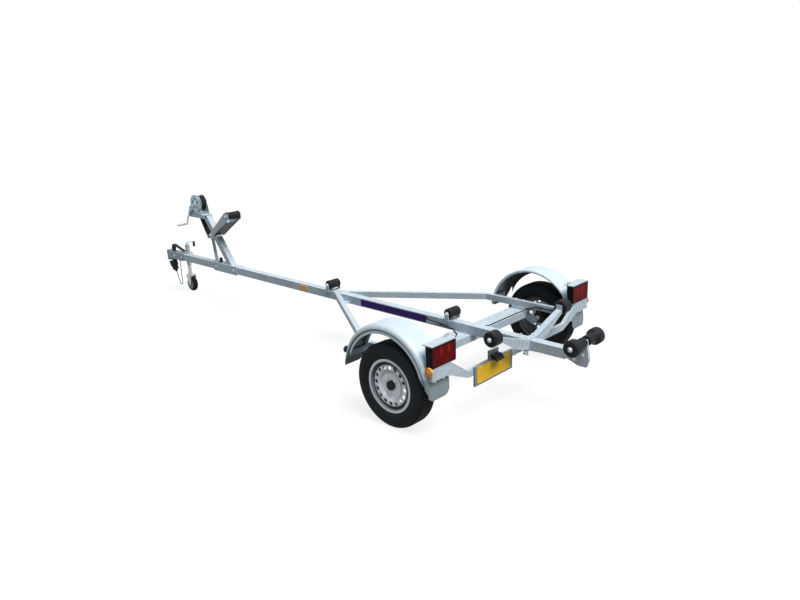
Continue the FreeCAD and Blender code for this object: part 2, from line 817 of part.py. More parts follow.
def winch_strap():
    """The wound strap, with its straight run down to the tab on the post."""
    drum_x, drum_z = number(f"{NOSE} - drum_back"), number("drum_level")
    hook_x, hook_z = number(f"{NOSE} - strap_hook_back"), number("tab_level + tab_plate + seat_gap")
    radius, half = number("strap_roll_radius"), number("strap_half_width")
    span = math.hypot(drum_x - hook_x, drum_z - hook_z)
    slope = math.atan2(drum_z - hook_z, drum_x - hook_x) - math.asin(radius / span)
    run = math.sqrt(span ** 2 - radius ** 2)
    along = Vector(math.cos(slope), 0, math.sin(slope))
    inward = Vector(-math.sin(slope), 0, math.cos(slope)) * number("strap_thickness")
    hook = Vector(hook_x, -half, hook_z)
    corners = [hook, hook + along * run, hook + along * run + inward, hook + inward]
    strip = Part.Face(Part.makePolygon(corners + corners[:1])).extrude(Vector(0, 2 * half, 0))
    across = Vector(0, 1, 0)
    roll = Part.makeCylinder(radius, 2 * half, Vector(drum_x, -half, drum_z), across)
    bore = number("drum_shaft_radius + running_gap")
    core = Part.makeCylinder(bore, 2 * half, Vector(drum_x, -half, drum_z), across)
    strap = doc.addObject("Part::Feature", "winch_strap")
    strap.Shape = roll.fuse(strip).cut(core).removeSplitter()
    place(strap)
    node("winch_strap", strap)


def winch_crank():
    shaft_at = (f"{NOSE} - crank_shaft_back", "crank_shaft_level")
    end_at = (f"{NOSE} - crank_end_back", "crank_end_level")
    outer = "(crank_inner + crank_bar)"
    shaft_y = ("-frame_plate_inner - frame_plate - crank_bar", outer)
    shaft = rod("crank_shaft", "y", "crank_shaft_radius", shaft_y, shaft_at)
    corners = [
        (f"{shaft_at[0]} - crank_half_slice", "crank_shaft_level"),
        (f"{shaft_at[0]} + crank_half_slice", "crank_shaft_level"),
        (f"{end_at[0]} + crank_half_slice", "crank_end_level"),
        (f"{end_at[0]} - crank_half_slice", "crank_end_level"),
    ]
    arm = prism("crank_arm", "XZ", corners, "crank_inner", outer)
    boss = rod("crank_boss", "y", "crank_grip_radius", ("crank_inner", outer), shaft_at)
    grip_y = ("crank_inner", f"{outer} + crank_grip_length")
    grip = rod("crank_grip", "y", "crank_grip_radius", grip_y, end_at)
    node("winch_crank", fuse("winch_crank", shaft, arm, boss, grip))


# Bow stop
def bow_stop():
    corners = [
        (f"{NOSE} - bow_tip_rear_back", "bow_tip_bottom_level"),
        (f"{NOSE} - bow_tip_rear_back", "bow_tip_top_level"),
        (f"{NOSE} - bow_tip_front_back", "bow_tip_top_level"),
        (f"{NOSE} - bow_root_front_back", "bow_root_front_level"),
        (f"{NOSE} - bow_root_rear_back", "bow_root_rear_level"),
    ]
    plate_y = ("bow_plate_inner", "bow_plate_inner + bow_plate")
    plate = prism("bow_side", "XZ", corners, *plate_y)
    bush_y = ("post_half_width + seat_gap", "bow_plate_inner")
    bush = rod("bow_bush", "y", "bow_bush_radius", bush_y, (f"{NOSE} - bow_bush_back", "bow_bush_level"))
    web_corners = [
        (f"{NOSE} - bow_web_rear_back", "bow_web_rear_level"),
        (f"{NOSE} - bow_web_front_back", "bow_web_front_level"),
        (f"{NOSE} - bow_web_front_back", "bow_web_front_level + bow_web_thickness"),
        (f"{NOSE} - bow_web_rear_back", "bow_web_rear_level + bow_web_thickness"),
    ]
    web = prism("bow_web", "XZ", web_corners, "-bow_plate_inner", "bow_plate_inner")
    node("bow_stop_arm", fuse("bow_stop_arm", pair("bow_sides", plate), pair("bow_bushes", bush), web))
    pad_half = "(bow_plate_inner - seat_gap)"
    pad_corners = [
        (f"-{pad_half}", "0"),
        (f"-{pad_half}", "bow_pad_radius"),
        ("-bow_pad_waist_half", "bow_pad_waist"),
        ("bow_pad_waist_half", "bow_pad_waist"),
        (pad_half, "bow_pad_radius"),
        (pad_half, "0"),
    ]
    at = (f"{NOSE} - bow_pad_back", "0", "bow_pad_level")
    node("bow_stop_pad", turned("bow_stop_pad", pad_corners, at))


# Side rails
def side_rails():
    def rail_corners(wall, slant, end):
        return [
            (f"{AXLE} - rail_end_behind", f"{RAIL_INNER} + {wall}"),
            (f"{AXLE} + rail_bend_inner_ahead", f"{RAIL_INNER} + {wall}"),
            (f"{AXLE} + rail_apex_rear_ahead + {slant}", end),
            (f"{AXLE} + rail_apex_front_ahead - {slant}", end),
            (f"{AXLE} + rail_bend_outer_ahead", f"{RAIL_OUTER} - {wall}"),
            (f"{AXLE} - rail_end_behind", f"{RAIL_OUTER} - {wall}"),
        ]

    end = f"{SPINE_SIDE} + seat_gap"
    outer = prism("rail_outer", "XY", rail_corners("0", "0", end), RAIL_BOTTOM, SPINE_TOP)
    hollow_z = (f"{RAIL_BOTTOM} + rail_wall", f"{SPINE_TOP} - rail_wall")
    hollow = prism("rail_hollow", "XY", rail_corners("rail_wall", "rail_wall_slant", end), *hollow_z)
    left = node("side_rail_left", cut("side_rail_left", outer, hollow))
    node("side_rail_right", mirrored("side_rail_right", left))


def rail_gussets():
    side = f"{SPINE_SIDE} + seat_gap"
    corners = [
        (f"{AXLE} + gusset_rear_ahead", side),
        (f"{AXLE} + gusset_front_ahead", side),
        (f"{AXLE} + gusset_rear_ahead", f"{side} + gusset_reach"),
    ]
    plate = prism("rail_gusset", "XY", corners, f"{RAIL_BOTTOM} - gusset_plate", RAIL_BOTTOM)
    node("rail_gussets", pair("rail_gussets", plate))


# Axle
def cross_member():
    x = (f"{AXLE} + cross_rear_ahead", f"{AXLE} + cross_front_ahead")
    top = "spine_bottom_level"
    low = "spine_bottom_level - cross_depth"
    outer = mid_block("cross_outer", x, CROSS_END, (low, top))
    inner_x = (f"{x[0]} + cross_wall", f"{x[1]} - cross_wall")
    inner = mid_block("cross_hollow", inner_x, CROSS_END, (low, f"{top} - cross_wall"))
    node("cross_member", cut("cross_member", outer, inner))
    seat_x = (f"{AXLE} + seat_rear_ahead", f"{AXLE} + seat_front_ahead")
    seat_z = ("spine_bottom_level", RAIL_BOTTOM)
    seat = block("rail_seat", seat_x, (f"{CROSS_END} - seat_width", CROSS_END), seat_z)
    node("rail_seats", pair("rail_seats", seat))


def axle():
    half = "axle_size / 2"
    x = (f"{AXLE} + axle_ahead - {half}", f"{AXLE} + axle_ahead + {half}")
    z = (f"{AXLE_LEVEL} - {half}", f"{AXLE_LEVEL} + {half}")
    node("axle_tube", mid_block("axle_tube", x, CROSS_END, z))
    upper_at = (f"{AXLE} + axle_ahead", AXLE_LEVEL)
    lower_at = (AXLE, "tyre_radius")
    plate_y = (f"{CROSS_END} + seat_gap", f"{CROSS_END} + arm_plate")
    upper = rod("arm_upper", "y", "arm_upper_radius", plate_y, upper_at)
    lower = rod("arm_lower", "y", "arm_lower_radius", plate_y, lower_at)
    corners = [
        (upper_at[0], f"{AXLE_LEVEL} - arm_upper_radius"),
        (upper_at[0], f"{AXLE_LEVEL} + arm_upper_radius"),
        (lower_at[0], "tyre_radius + arm_lower_radius"),
        (lower_at[0], "tyre_radius - arm_lower_radius"),
    ]
    web = prism("arm_web", "XZ", corners, *plate_y)
    stub_y = (plate_y[0], "wheel_track_half + stub_past_middle")
    stub = rod("axle_stub", "y", "stub_radius", stub_y, lower_at)
    node("axle_arms", pair("axle_arms", fuse("axle_arm", upper, lower, web, stub)))


# Wheels
def wheel_at(side):
    return (AXLE, f"{'' if side == 'left' else '-'}wheel_track_half", "tyre_radius")


def outward(side, corners):
    """Wheel outlines are drawn for the left; the right is their mirror image."""
    if side == "left":
        return corners
    return [(f"-({across})" if across != "0" else across, radius) for across, radius in corners]


def rim(side):
    half = "rim_half_width"
    inner_bead = f"-({half} - rim_flange_thickness)"
    outer_bead = f"{half} - rim_flange_thickness"
    skin = "rim_skin"
    barrel = [
        (f"-{half}", "rim_flange_radius"),
        (inner_bead, "rim_flange_radius"),
        (inner_bead, "bead_radius"),
        ("well_inner - well_slope", "bead_radius"),
        ("well_inner", "well_radius"),
        ("well_outer", "well_radius"),
        ("well_outer + well_slope", "bead_radius"),
        (outer_bead, "bead_radius"),
        (outer_bead, "rim_flange_radius"),
        (half, "rim_flange_radius"),
        (half, f"bead_radius - {skin}"),
        (f"well_outer + well_slope + {skin}", f"bead_radius - {skin}"),
        (f"well_outer + {skin}", f"well_radius - {skin}"),
        (f"well_inner - {skin}", f"well_radius - {skin}"),
        (f"well_inner - well_slope - {skin}", f"bead_radius - {skin}"),
        (f"-{half}", f"bead_radius - {skin}"),
    ]
    wall = "dish_plate"
    dish = [
        ("dish_root", f"bead_radius - {skin} / 2"),
        (f"dish_root + {wall}", f"bead_radius - {skin} / 2"),
        ("dish_brow", "dish_brow_outer_radius"),
        ("dish_brow", "dish_brow_inner_radius"),
        (f"dish_step + {wall} / 2", "dish_step_radius"),
        ("dish_face", "dish_face_radius"),
        ("dish_face", "rim_bore"),
        (f"dish_face - {wall}", "rim_bore"),
        (f"dish_face - {wall}", "dish_face_radius"),
        (f"dish_step - {wall} / 2", "dish_step_radius"),
        (f"dish_brow - {wall}", f"dish_brow_inner_radius + {wall} / 2"),
        (f"dish_brow - {wall}", f"dish_brow_outer_radius - {wall}"),
        ("dish_root", f"bead_radius - {skin} - {wall}"),
    ]
    name = f"rim_{side}"
    at = wheel_at(side)
    whole = fuse(name + "_whole", turned(name + "_barrel", outward(side, barrel), at),
                 turned(name + "_dish", outward(side, dish), at))
    step = 360 / number("vent_count")
    vents = []
    sign = "" if side == "left" else "-"
    reach = (f"{at[1]} - rim_half_width", f"{at[1]} + rim_half_width")
    for index in range(int(number("vent_count"))):
        angle = math.radians(index * step)
        x = f"{AXLE} + vent_circle * {math.cos(angle):.6f}"
        z = f"tyre_radius + vent_circle * {math.sin(angle):.6f}"
        vents.append(rod(f"{name}_vent", "y", "vent_radius", reach, (x, z)))
    node(f"rim_{side}", cut(name, whole, *vents))


def tyre(side):
    profile = [
        ("tyre_foot", "bead_radius + seat_gap"),
        ("tyre_foot", "rim_flange_radius"),
        ("tyre_wall_low", "tyre_wall_low_radius"),
        ("tyre_half_width", "(tyre_wall_low_radius + tyre_wall_top_radius) / 2"),
        ("tyre_wall_top", "tyre_wall_top_radius"),
        ("tyre_shoulder", "tyre_shoulder_radius"),
        ("tyre_tread_half", "tyre_radius"),
    ]
    other = [(f"-({across})", radius) for across, radius in reversed(profile)]
    node(f"tyre_{side}", turned(f"tyre_{side}", profile + other, wheel_at(side)))


def hub(side):
    bore = "stub_radius + running_gap"
    face = "(dish_face - dish_plate)"
    body = [
        ("hub_rear", bore),
        ("hub_rear", "hub_radius"),
        (f"{face} - hub_flange_plate", "hub_radius"),
        (f"{face} - hub_flange_plate", "hub_flange_radius"),
        (face, "hub_flange_radius"),
        (face, "hub_nose_radius"),
        ("hub_nose", "hub_nose_radius"),
        ("hub_nose", bore),
    ]
    node(f"hub_{side}", turned(f"hub_{side}", outward(side, body), wheel_at(side)))
    cap = [
        ("hub_nose + seat_gap", "0"),
        ("hub_nose + seat_gap", "cap_radius"),
        ("cap_end - cap_edge", "cap_radius"),
        ("cap_end", "cap_radius - cap_edge"),
        ("cap_end", "0"),
    ]
    node(f"hub_cap_{side}", turned(f"hub_cap_{side}", outward(side, cap), wheel_at(side)))


# Fenders
# how far in and how far down the points of the rounded shoulder lie
FENDER_SHOULDER_SHARES = [(1, 0), (0.6, 0.09), (0.28, 0.31), (0.08, 0.62), (0, 1)]


def shoulder(edge, top, drop):
    return [
        (f"{edge} - {across} * fender_shoulder", f"{top} - {down} * {drop}")
        for across, down in FENDER_SHOULDER_SHARES
    ]


def fenders():
    """An arch with a rounded shoulder, a groove below it and a lip round the wheel."""
    inner, outer, skin, top = FENDER_INNER, FENDER_OUTER, "fender_skin", "fender_radius"
    outside = shoulder(outer, top, "fender_shoulder_drop")
    inside = shoulder(f"{outer} - {skin}", f"{top} - {skin}", f"(fender_shoulder_drop - {skin})")
    profile = [
        (inner, f"{top} - {skin}"),
        (inner, top),
        *outside,
        (f"{outer} - fender_groove", f"{top} - fender_groove_drop"),
        (outer, f"{top} - fender_lip_drop"),
        (outer, f"{top} - fender_lip"),
        (f"{outer} - {skin}", f"{top} - fender_lip"),
        (f"{outer} - {skin}", f"{top} - fender_lip_drop"),
        (f"{outer} - {skin} - fender_groove", f"{top} - fender_groove_drop"),
        *reversed(inside),
    ]
    lean = -number("fender_lean_degrees")
    arch = turned("fender_arch", profile, FENDER_AT, sweep="fender_sweep_degrees", lean=lean)
    tools = [*fender_end("rear", -1, "fender_round"), *fender_end("front", 1, "fender_front_round")]
    left = cut("fender_left", arch, *tools)
    node("fender_left", left)
    node("fender_right", mirrored("fender_right", left))


def fender_end(place, ahead, outer_round):
    """What is cut away to round the two lower corners of an end and to taper its lip."""
    below = number(f"fender_sweep_degrees / 2 - {ahead} * fender_lean_degrees") - QUARTER_TURN
    end = f"(fender_level - fender_radius * {math.sin(math.radians(below)):.6f})"
    low = f"{end} - fender_round"
    inner_x = f"{FENDER_AT[0]} + {ahead} * (fender_radius - fender_taper_inner)"
    outer_x = f"{FENDER_AT[0]} + {ahead} * (fender_radius - fender_taper_outer)"
    beyond_x = f"{FENDER_AT[0]} + {ahead} * (fender_radius + fender_skin)"
    x = sorted((inner_x, beyond_x), key=number)
    tools = []
    for side, edge, inward, radius in (
        ("inner", FENDER_INNER, 1, "fender_round"),
        ("outer", FENDER_OUTER, -1, outer_round),
    ):
        name = f"fender_{place}_{side}"
        centre = f"({edge} + {inward} * {radius})"
        y = sorted((f"{edge} - {inward} * {radius}", centre), key=number)
        corner = block(f"{name}_corner", x, y, (low, f"{end} + {radius}"))
        keep = rod(f"{name}_keep", "x", radius, x, (centre, f"{end} + {radius}"))
        tools.append(cut(f"{name}_cut", corner, keep))
    taper = [
        (inner_x, low),
        (inner_x, f"{end} + fender_taper_height"),
        (outer_x, f"{end} + {outer_round} - fender_groove"),
        (outer_x, low),
    ]
    taper_y = (f"{FENDER_OUTER} - {FENDER_WALL}", f"{FENDER_OUTER} + fender_skin")
    tools.append(prism(f"fender_{place}_taper", "XZ", taper, *taper_y))
    return tools


def fender_stays():
    """A bar behind the front of each fender, and a wedge from its back to the light beam."""
    middle, level = FENDER_AT[0], FENDER_AT[2]
    bar_x = (f"{middle} + stay_reach", f"{middle} + stay_reach + stay_plate")
    bar_y = (RAIL_OUTER, f"{FENDER_OUTER} - fender_shoulder - fender_skin")
    bar = block("stay_bar", bar_x, bar_y, ("stay_bottom_level", "stay_top_level"))
    under = rod("stay_under", "y", "fender_radius - fender_skin - seat_gap", bar_y, (middle, level))
    front = doc.addObject("Part::MultiCommon", "stay_front")
    front.Shapes = [bar, under]
    y = (f"{FENDER_INNER} + wedge_inner", f"{FENDER_INNER} + wedge_inner + wedge_width")
    wedge_x = (f"{BEAM_REAR} + beam_depth", f"{middle} - fender_radius / 2")
    wedge = block("stay_wedge", wedge_x, y, ("wedge_bottom_level", "wedge_top_level"))
    over = rod("stay_over", "y", "fender_radius + seat_gap", y, (middle, level))
    left = fuse("fender_stays_left", front, cut("stay_rear", wedge, over))
    node("fender_stays", pair("fender_stays", left))


# Light beam and lights
def light_beam():
    middle_top = "spine_bottom_level"
    middle_low = f"(spine_bottom_level - beam_middle_depth)"
    end_inner = f"({BEAM_END} - beam_end_length)"
    end_inner_low = f"({BEAM_END} - beam_end_low_length)"

    def beam_corners(inset, end):
        upper = [
            (end, f"beam_end_top_level - {inset}"),
            (end_inner, f"beam_end_top_level - {inset}"),
            (f"{end_inner} - beam_crank_length", f"{middle_top} - {inset}"),
        ]
        lower = [
            (f"{end_inner_low} - beam_crank_low_length", f"{middle_low} + {inset}"),
            (end_inner_low, f"beam_end_bottom_level + {inset}"),
            (end, f"beam_end_bottom_level + {inset}"),
        ]
        return both_sides(upper, lower)

    front = f"{BEAM_REAR} + beam_depth"
    outer = prism("beam_outer", "YZ", beam_corners("0", BEAM_END), BEAM_REAR, front)
    hollow = prism("beam_hollow", "YZ", beam_corners("beam_wall", f"({BEAM_END} - beam_wall)"),
                   f"{BEAM_REAR} + beam_wall", front)
    beam = cut("bare_beam", outer, hollow)
    node("light_beam", fuse("light_beam", beam, pair("light_brackets", light_bracket())))


def light_bracket():
    """A floor, back and hood round each light, with a tab above its inner end."""
    side = (LIGHT_INNER, BEAM_END)
    top = "light_top_level"
    back_x = (LIGHT_FRONT, f"{LIGHT_FRONT} + bracket_plate")
    floor_z = ("beam_end_top_level", "beam_end_top_level + bracket_plate")
    floor = block("bracket_floor", (BEAM_REAR, back_x[1]), side, floor_z)
    back = block("bracket_back", back_x, side, (floor_z[0], top))
    hood_x = (BEAM_REAR, f"{BEAM_REAR} + hood_depth")
    hood = block("bracket_hood", hood_x, side, (top, f"{top} + hood_thickness"))
    tab_y = (LIGHT_INNER, f"{LIGHT_INNER} + hood_tab_width")
    tab = block("bracket_tab", back_x, tab_y, (top, f"{top} + hood_tab_rise"))
    return fuse("light_bracket", floor, back, hood, tab)


def lights():
    bottom, top = "beam_end_top_level + bracket_plate", "light_top_level"
    lens_front = f"({BEAM_REAR} + lens_thickness)"
    housing = block("light_housing", (lens_front, LIGHT_FRONT), (LIGHT_INNER, BEAM_END), (bottom, top))
    node("light_housings", pair("light_housings", housing))
    lens_y = (f"{LIGHT_INNER} + lens_inset", f"{BEAM_END} - lens_inset")
    lens_z = (f"{bottom} + lens_inset", f"{top} - lens_inset")
    lens = block("light_lens", (BEAM_REAR, lens_front), lens_y, lens_z)
    node("light_lenses", pair("light_lenses", lens))
    marker_at = (f"{AXLE} - marker_behind", "marker_level")
    marker = rod("side_marker", "y", "marker_radius", (BEAM_END, FENDER_OUTER), marker_at)
    node("side_markers", pair("side_markers", marker))
    side_reflectors()
    front_lamps()


def side_reflectors():
    middle = f"({AXLE} + reflector_ahead)"
    level = "(spine_bottom_level + spine_size / 2)"
    x = (f"{middle} - reflector_length / 2", f"{middle} + reflector_length / 2")
    y = (SPINE_SIDE, f"{SPINE_SIDE} + reflector_thickness")
    z = (f"{level} - reflector_height / 2", f"{level} + reflector_height / 2")
    node("side_reflectors", pair("side_reflectors", block("side_reflector", x, y, z)))


def front_lamps():
    """Round lamps that sit on the front of the fenders and follow their shoulders."""
    side = f"({FENDER_OUTER} - front_lamp_inset)"
    x = (f"{AXLE} + front_lamp_root_ahead", f"{AXLE} + front_lamp_end_ahead")
    lamp = rod("front_lamp_whole", "x", "front_lamp_radius", x, (side, "front_lamp_level"))
    edge = f"{FENDER_OUTER} - front_lamp_bed"
    bed = [
        (edge, "0"),
        (edge, "fender_radius + seat_gap"),
        *shoulder(FENDER_OUTER, "(fender_radius + seat_gap)", "fender_shoulder_drop"),
        (FENDER_OUTER, "0"),
    ]
    seated = cut("front_lamp", lamp, turned("front_lamp_bed", bed, FENDER_AT))
    node("front_lamps", pair("front_lamps", seated))


def number_plate():
    top = "(plate_bottom_level + plate_height)"
    outer = "(plate_inner + plate_width)"
    face = f"({BEAM_REAR} - holder_thickness)"
    holder_x = (face, BEAM_REAR)
    holder_y = ("plate_inner - holder_inner_margin", f"{outer} + holder_outer_margin")
    holder_z = ("plate_bottom_level - holder_bottom_margin", f"{top} + holder_top_margin")
    backing = block("holder_sheet", holder_x, holder_y, holder_z)
    middle = "(plate_inner + plate_width / 2)"
    tab_y = (f"{middle} - holder_tab_half_width", f"{middle} + holder_tab_half_width")
    tab = block("holder_tab", holder_x, tab_y, (top, "holder_tab_top_level"))
    node("plate_holder", fuse("plate_holder", backing, tab))
    plate_x = (f"{face} - plate_thickness", face)
    node("number_plate", block("number_plate", plate_x, ("plate_inner", outer), ("plate_bottom_level", top)))
    plate_lamp(face, middle)


def plate_lamp(face, middle):
    """A lamp above the plate, its lower face sloping towards the plate."""
    corners = [
        (face, "plate_lamp_bottom_level + plate_lamp_slope"),
        (face, "plate_lamp_top_level"),
        (f"{face} - plate_lamp_depth + plate_lamp_slope", "plate_lamp_top_level"),
        (f"{face} - plate_lamp_depth", "plate_lamp_top_level - plate_lamp_slope"),
        (f"{face} - plate_lamp_depth", "plate_lamp_bottom_level"),
    ]
    sides = (f"{middle} - plate_lamp_half_width", f"{middle} + plate_lamp_half_width")
    node("plate_lamp", prism("plate_lamp", "XZ", corners, *sides))


# Keel rollers
def keel_station(name):
    x = f"({AXLE} + keel_{name}_ahead)"
    x_range = (f"{x} - keel_plate_half", f"{x} + keel_plate_half")
    outer = "(keel_plate_inner + keel_plate)"
    base = mid_block(f"keel_{name}_base", x_range, outer, (SPINE_TOP, f"{SPINE_TOP} + keel_plate"))
    upright_y = ("keel_plate_inner", outer)
    upright = block(f"keel_{name}_upright", x_range, upright_y, (SPINE_TOP, "keel_roller_level"))
    eye = rod(f"keel_{name}_eye", "y", "keel_plate_half", upright_y, (x, "keel_roller_level"))
    side = fuse(f"keel_{name}_side", upright, eye)
    pin_y = ("-keel_pin_half", "keel_pin_half")
    pin = rod(f"keel_{name}_pin", "y", "keel_pin_radius", pin_y, (x, "keel_roller_level"))
    node(f"keel_bracket_{name}", fuse(f"keel_bracket_{name}", base, pair(f"keel_{name}_sides", side), pin))
    bore = "keel_pin_radius + running_gap"
    corners = [
        ("-keel_roller_half", bore),
        ("-keel_roller_half", "keel_roller_radius - keel_roller_edge"),
        ("-keel_roller_half + keel_roller_edge", "keel_roller_radius"),
        ("keel_roller_half - keel_roller_edge", "keel_roller_radius"),
        ("keel_roller_half", "keel_roller_radius - keel_roller_edge"),
        ("keel_roller_half", bore),
    ]
    at = (x, "0", "keel_roller_level")
    node(f"keel_roller_{name}", turned(f"keel_roller_{name}", corners, at))


def rear_station():
    end = f"({AXLE} - spine_end_behind)"
    cap_x = (f"{end} - rear_cap_plate", end)
    cap = mid_block("rear_cap", cap_x, SPINE_SIDE, ("spine_bottom_level", SPINE_TOP))
    corners = [
        (f"{end} - rear_cap_plate", SPINE_TOP),
        (f"{end} - rear_cap_plate", "spine_bottom_level"),
        (f"{AXLE} - rear_web_low_front_behind", "rear_web_low_level"),
        (f"{AXLE} - rear_web_low_rear_behind", "rear_web_low_level"),
        (f"{AXLE} - rear_web_knee_behind", "rear_web_knee_level"),
        (f"{REAR_ROLLER_X} - rear_web_top_half", "rear_web_top_level"),
        (f"{REAR_ROLLER_X} + rear_web_top_half", "rear_web_top_level"),
    ]
    web = prism("rear_web", "XZ", corners, "-rear_web_half", "rear_web_half")
    pin_y = ("-rear_pin_half", "rear_pin_half")
    pin = rod("rear_pin", "y", "rear_pin_radius", pin_y, (REAR_ROLLER_X, "rear_roller_level"))
    node("keel_bracket_rear", fuse("keel_bracket_rear", cap, web, pin))
    bore = "rear_pin_radius + running_gap"
    half = [
        ("rear_roller_inner", bore),
        ("rear_roller_inner", "rear_waist_radius"),
        ("rear_waist_end", "rear_waist_radius"),
        ("rear_cone_end", "rear_roller_radius"),
        ("rear_roller_half - rear_roller_edge", "rear_roller_radius"),
        ("rear_roller_half", "rear_roller_radius - rear_roller_edge"),
        ("rear_roller_half", bore),
    ]
    left = turned("rear_roller_left", half, (REAR_ROLLER_X, "0", "rear_roller_level"))
    node("keel_roller_rear", pair("keel_roller_rear", left))


# Side rollers
def cradle():
    rear = f"({AXLE} - cradle_rear_behind)"
    x = (rear, f"{rear} + cradle_depth")
    side = f"({SPINE_SIDE} + seat_gap)"
    over = f"({SPINE_TOP} + seat_gap)"
    flat = "cradle_flat_side"
    upper = [("cradle_end_side", "cradle_end_level"), (flat, "cradle_middle_level")]
    lower = [
        (side, over),
        (side, "cradle_heel_level"),
        ("cradle_foot_side", "cradle_foot_level"),
        ("cradle_knee_side", "cradle_knee_level"),
        ("cradle_end_side", "cradle_end_bottom_level"),
    ]
    plate = prism("cradle_face", "YZ", both_sides(upper, lower), rear, f"{rear} + cradle_plate")
    under = [
        (flat, "cradle_middle_level - cradle_plate"),
        ("cradle_end_side", "cradle_end_level - cradle_plate"),
    ]
    flange = prism("cradle_flange", "YZ", both_sides(upper, under), *x)
    saddle_edge = [("cradle_foot_side", f"{over} + cradle_plate")]
    saddle_low = [
        (side, over),
        (side, "cradle_heel_level"),
        (f"{side} + cradle_plate", "cradle_heel_level"),
        (f"{side} + cradle_plate", over),
        ("cradle_foot_side", over),
    ]
    saddle = prism("cradle_saddle", "YZ", both_sides(saddle_edge, saddle_low), *x)
    cradle_clamp(x)
    end_y = ("cradle_end_side", "cradle_end_side + cradle_end_plate")
    end_z = ("cradle_end_plate_bottom_level", "cradle_end_plate_top_level")
    pin_at = (CRADLE_X, "cradle_pin_level")
    pin = rod("cradle_pin", "y", "cradle_pin_radius", ("cradle_end_side", "cradle_pin_end"), pin_at)
    ends = pair("cradle_ends", fuse("cradle_end", block("cradle_end_plate", x, end_y, end_z), pin))
    node("roller_arms", fuse("roller_arms", plate, flange, saddle, ends))


def cradle_clamp(x):
    """The plate under the draw tube and its four bolts, which end under the saddle."""
    plate_top = "(spine_bottom_level - seat_gap)"
    plate = mid_block("clamp_plate", x, "clamp_plate_half_width", (f"{plate_top} - clamp_plate", plate_top))
    bolts = []
    for name, at in (("rear", f"{x[0]} + clamp_bolt_inset"), ("front", f"{x[1]} - clamp_bolt_inset")):
        bolt_z = ("clamp_bolt_bottom_level", SPINE_TOP)
        bolts.append(rod(f"clamp_bolt_{name}", "z", "clamp_bolt_radius", bolt_z, (at, "clamp_bolt_side")))
    node("roller_clamp", fuse("roller_clamp", plate, pair("clamp_bolts", fuse("clamp_bolts_left", *bolts))))


def cradle_roller(side):
    sign = "" if side == "left" else "-"
    middle = "((cradle_roller_inner + cradle_roller_outer) / 2)"
    half = "((cradle_roller_outer - cradle_roller_inner) / 2)"
    bore = "cradle_pin_radius + running_gap"
    edge = "cradle_roller_edge"
    corners = [
        (f"-{half}", bore),
        (f"-{half}", f"cradle_roller_radius - {edge}"),
        (f"-{half} + {edge}", "cradle_roller_radius"),
        (f"{half} - {edge}", "cradle_roller_radius"),
        (half, f"cradle_roller_radius - {edge}"),
        (half, bore),
    ]
    at = (CRADLE_X, f"{sign}{middle}", "cradle_pin_level")
    node(f"side_roller_{side}", turned(f"side_roller_{side}", corners, at))


# Plug, parked in its holder under the coupling
def plug_upward():
    """The direction of the plug's own line, from its low end to its head."""
    lean = math.radians(number("plug_lean_degrees"))
    return Vector(math.sin(lean), 0, math.cos(lean))


def along_plug(name, radius, low, high, top_radius=None):
    """A cylinder or cone on the plug's own line, between two places along it."""
    solid = doc.addObject("Part::Cone" if top_radius else "Part::Cylinder", name)
    if top_radius:
        bind(solid, Radius1=radius, Radius2=top_radius, Height=f"{high} - ({low})")
    else:
        bind(solid, Radius=radius, Height=f"{high} - ({low})")
    upward = plug_upward()
    x = f"{NOSE} - plug_tail_back + ({low}) * {upward.x:.6f}"
    z = f"plug_tail_level + ({low}) * {upward.z:.6f}"
    place(solid, x, "plug_side", z, Rotation(Vector(0, 0, 1), upward))
    return solid


def wiring_plug():
    gland_end, head = "plug_gland_length", "plug_length"
    gland = along_plug("plug_gland", "plug_gland_radius", "0", gland_end, "plug_gland_root_radius")
    body = along_plug("plug_body", "plug_radius", gland_end, head)
    holder = along_plug("plug_holder", "plug_holder_radius", f"{head} - plug_holder_depth", head)
    stem_x = (f"{NOSE} - plug_stem_rear_back", f"{NOSE} - plug_stem_front_back")
    stem_y = ("plug_side - plug_stem_half_width", "plug_side + plug_stem_half_width")
    stem_top = "(spine_bottom_level - seat_gap - shank_wall)"
    stem = block("plug_stem", stem_x, stem_y, ("plug_stem_bottom_level", stem_top))
    node("wiring_plug", fuse("wiring_plug", gland, body, holder, stem))


# Wiring, in straight runs joined by arcs
RUN_SHARE = 0.45
VOLUME_SHARE = 0.01


def tube(name, points, radius, bend):
    """A round tube through the points, each corner rounded as far as its runs allow."""
    edges = []
    start = points[0]
    for before, corner, after in zip(points, points[1:], points[2:]):
        back, ahead = (before - corner).normalize(), (after - corner).normalize()
        half_turn = (math.pi - back.getAngle(ahead)) / 2
        shorter = min((corner - before).Length, (after - corner).Length)
        setback = min(RUN_SHARE * shorter, bend * math.tan(half_turn))
        first, last = corner + back * setback, corner + ahead * setback
        inward = (back + ahead).normalize()
        centre_reach = setback / math.tan(half_turn) / math.cos(half_turn)
        arc_reach = centre_reach - setback / math.tan(half_turn)
        edges.append(Part.LineSegment(start, first).toShape())
        edges.append(Part.Arc(first, corner + inward * arc_reach, last).toShape())
        start = last
    edges.append(Part.LineSegment(start, points[-1]).toShape())
    path = Part.Wire(edges)
    ring = Part.Wire([Part.makeCircle(radius, points[0], points[1] - points[0])])
    solid = path.makePipeShell([ring], True, True)
    expected = math.pi * radius ** 2 * path.Length
    if abs(solid.Volume - expected) > expected * VOLUME_SHARE:
        raise SystemExit(f"{name}: volume {solid.Volume:.0f}, not {expected:.0f}")
    return solid


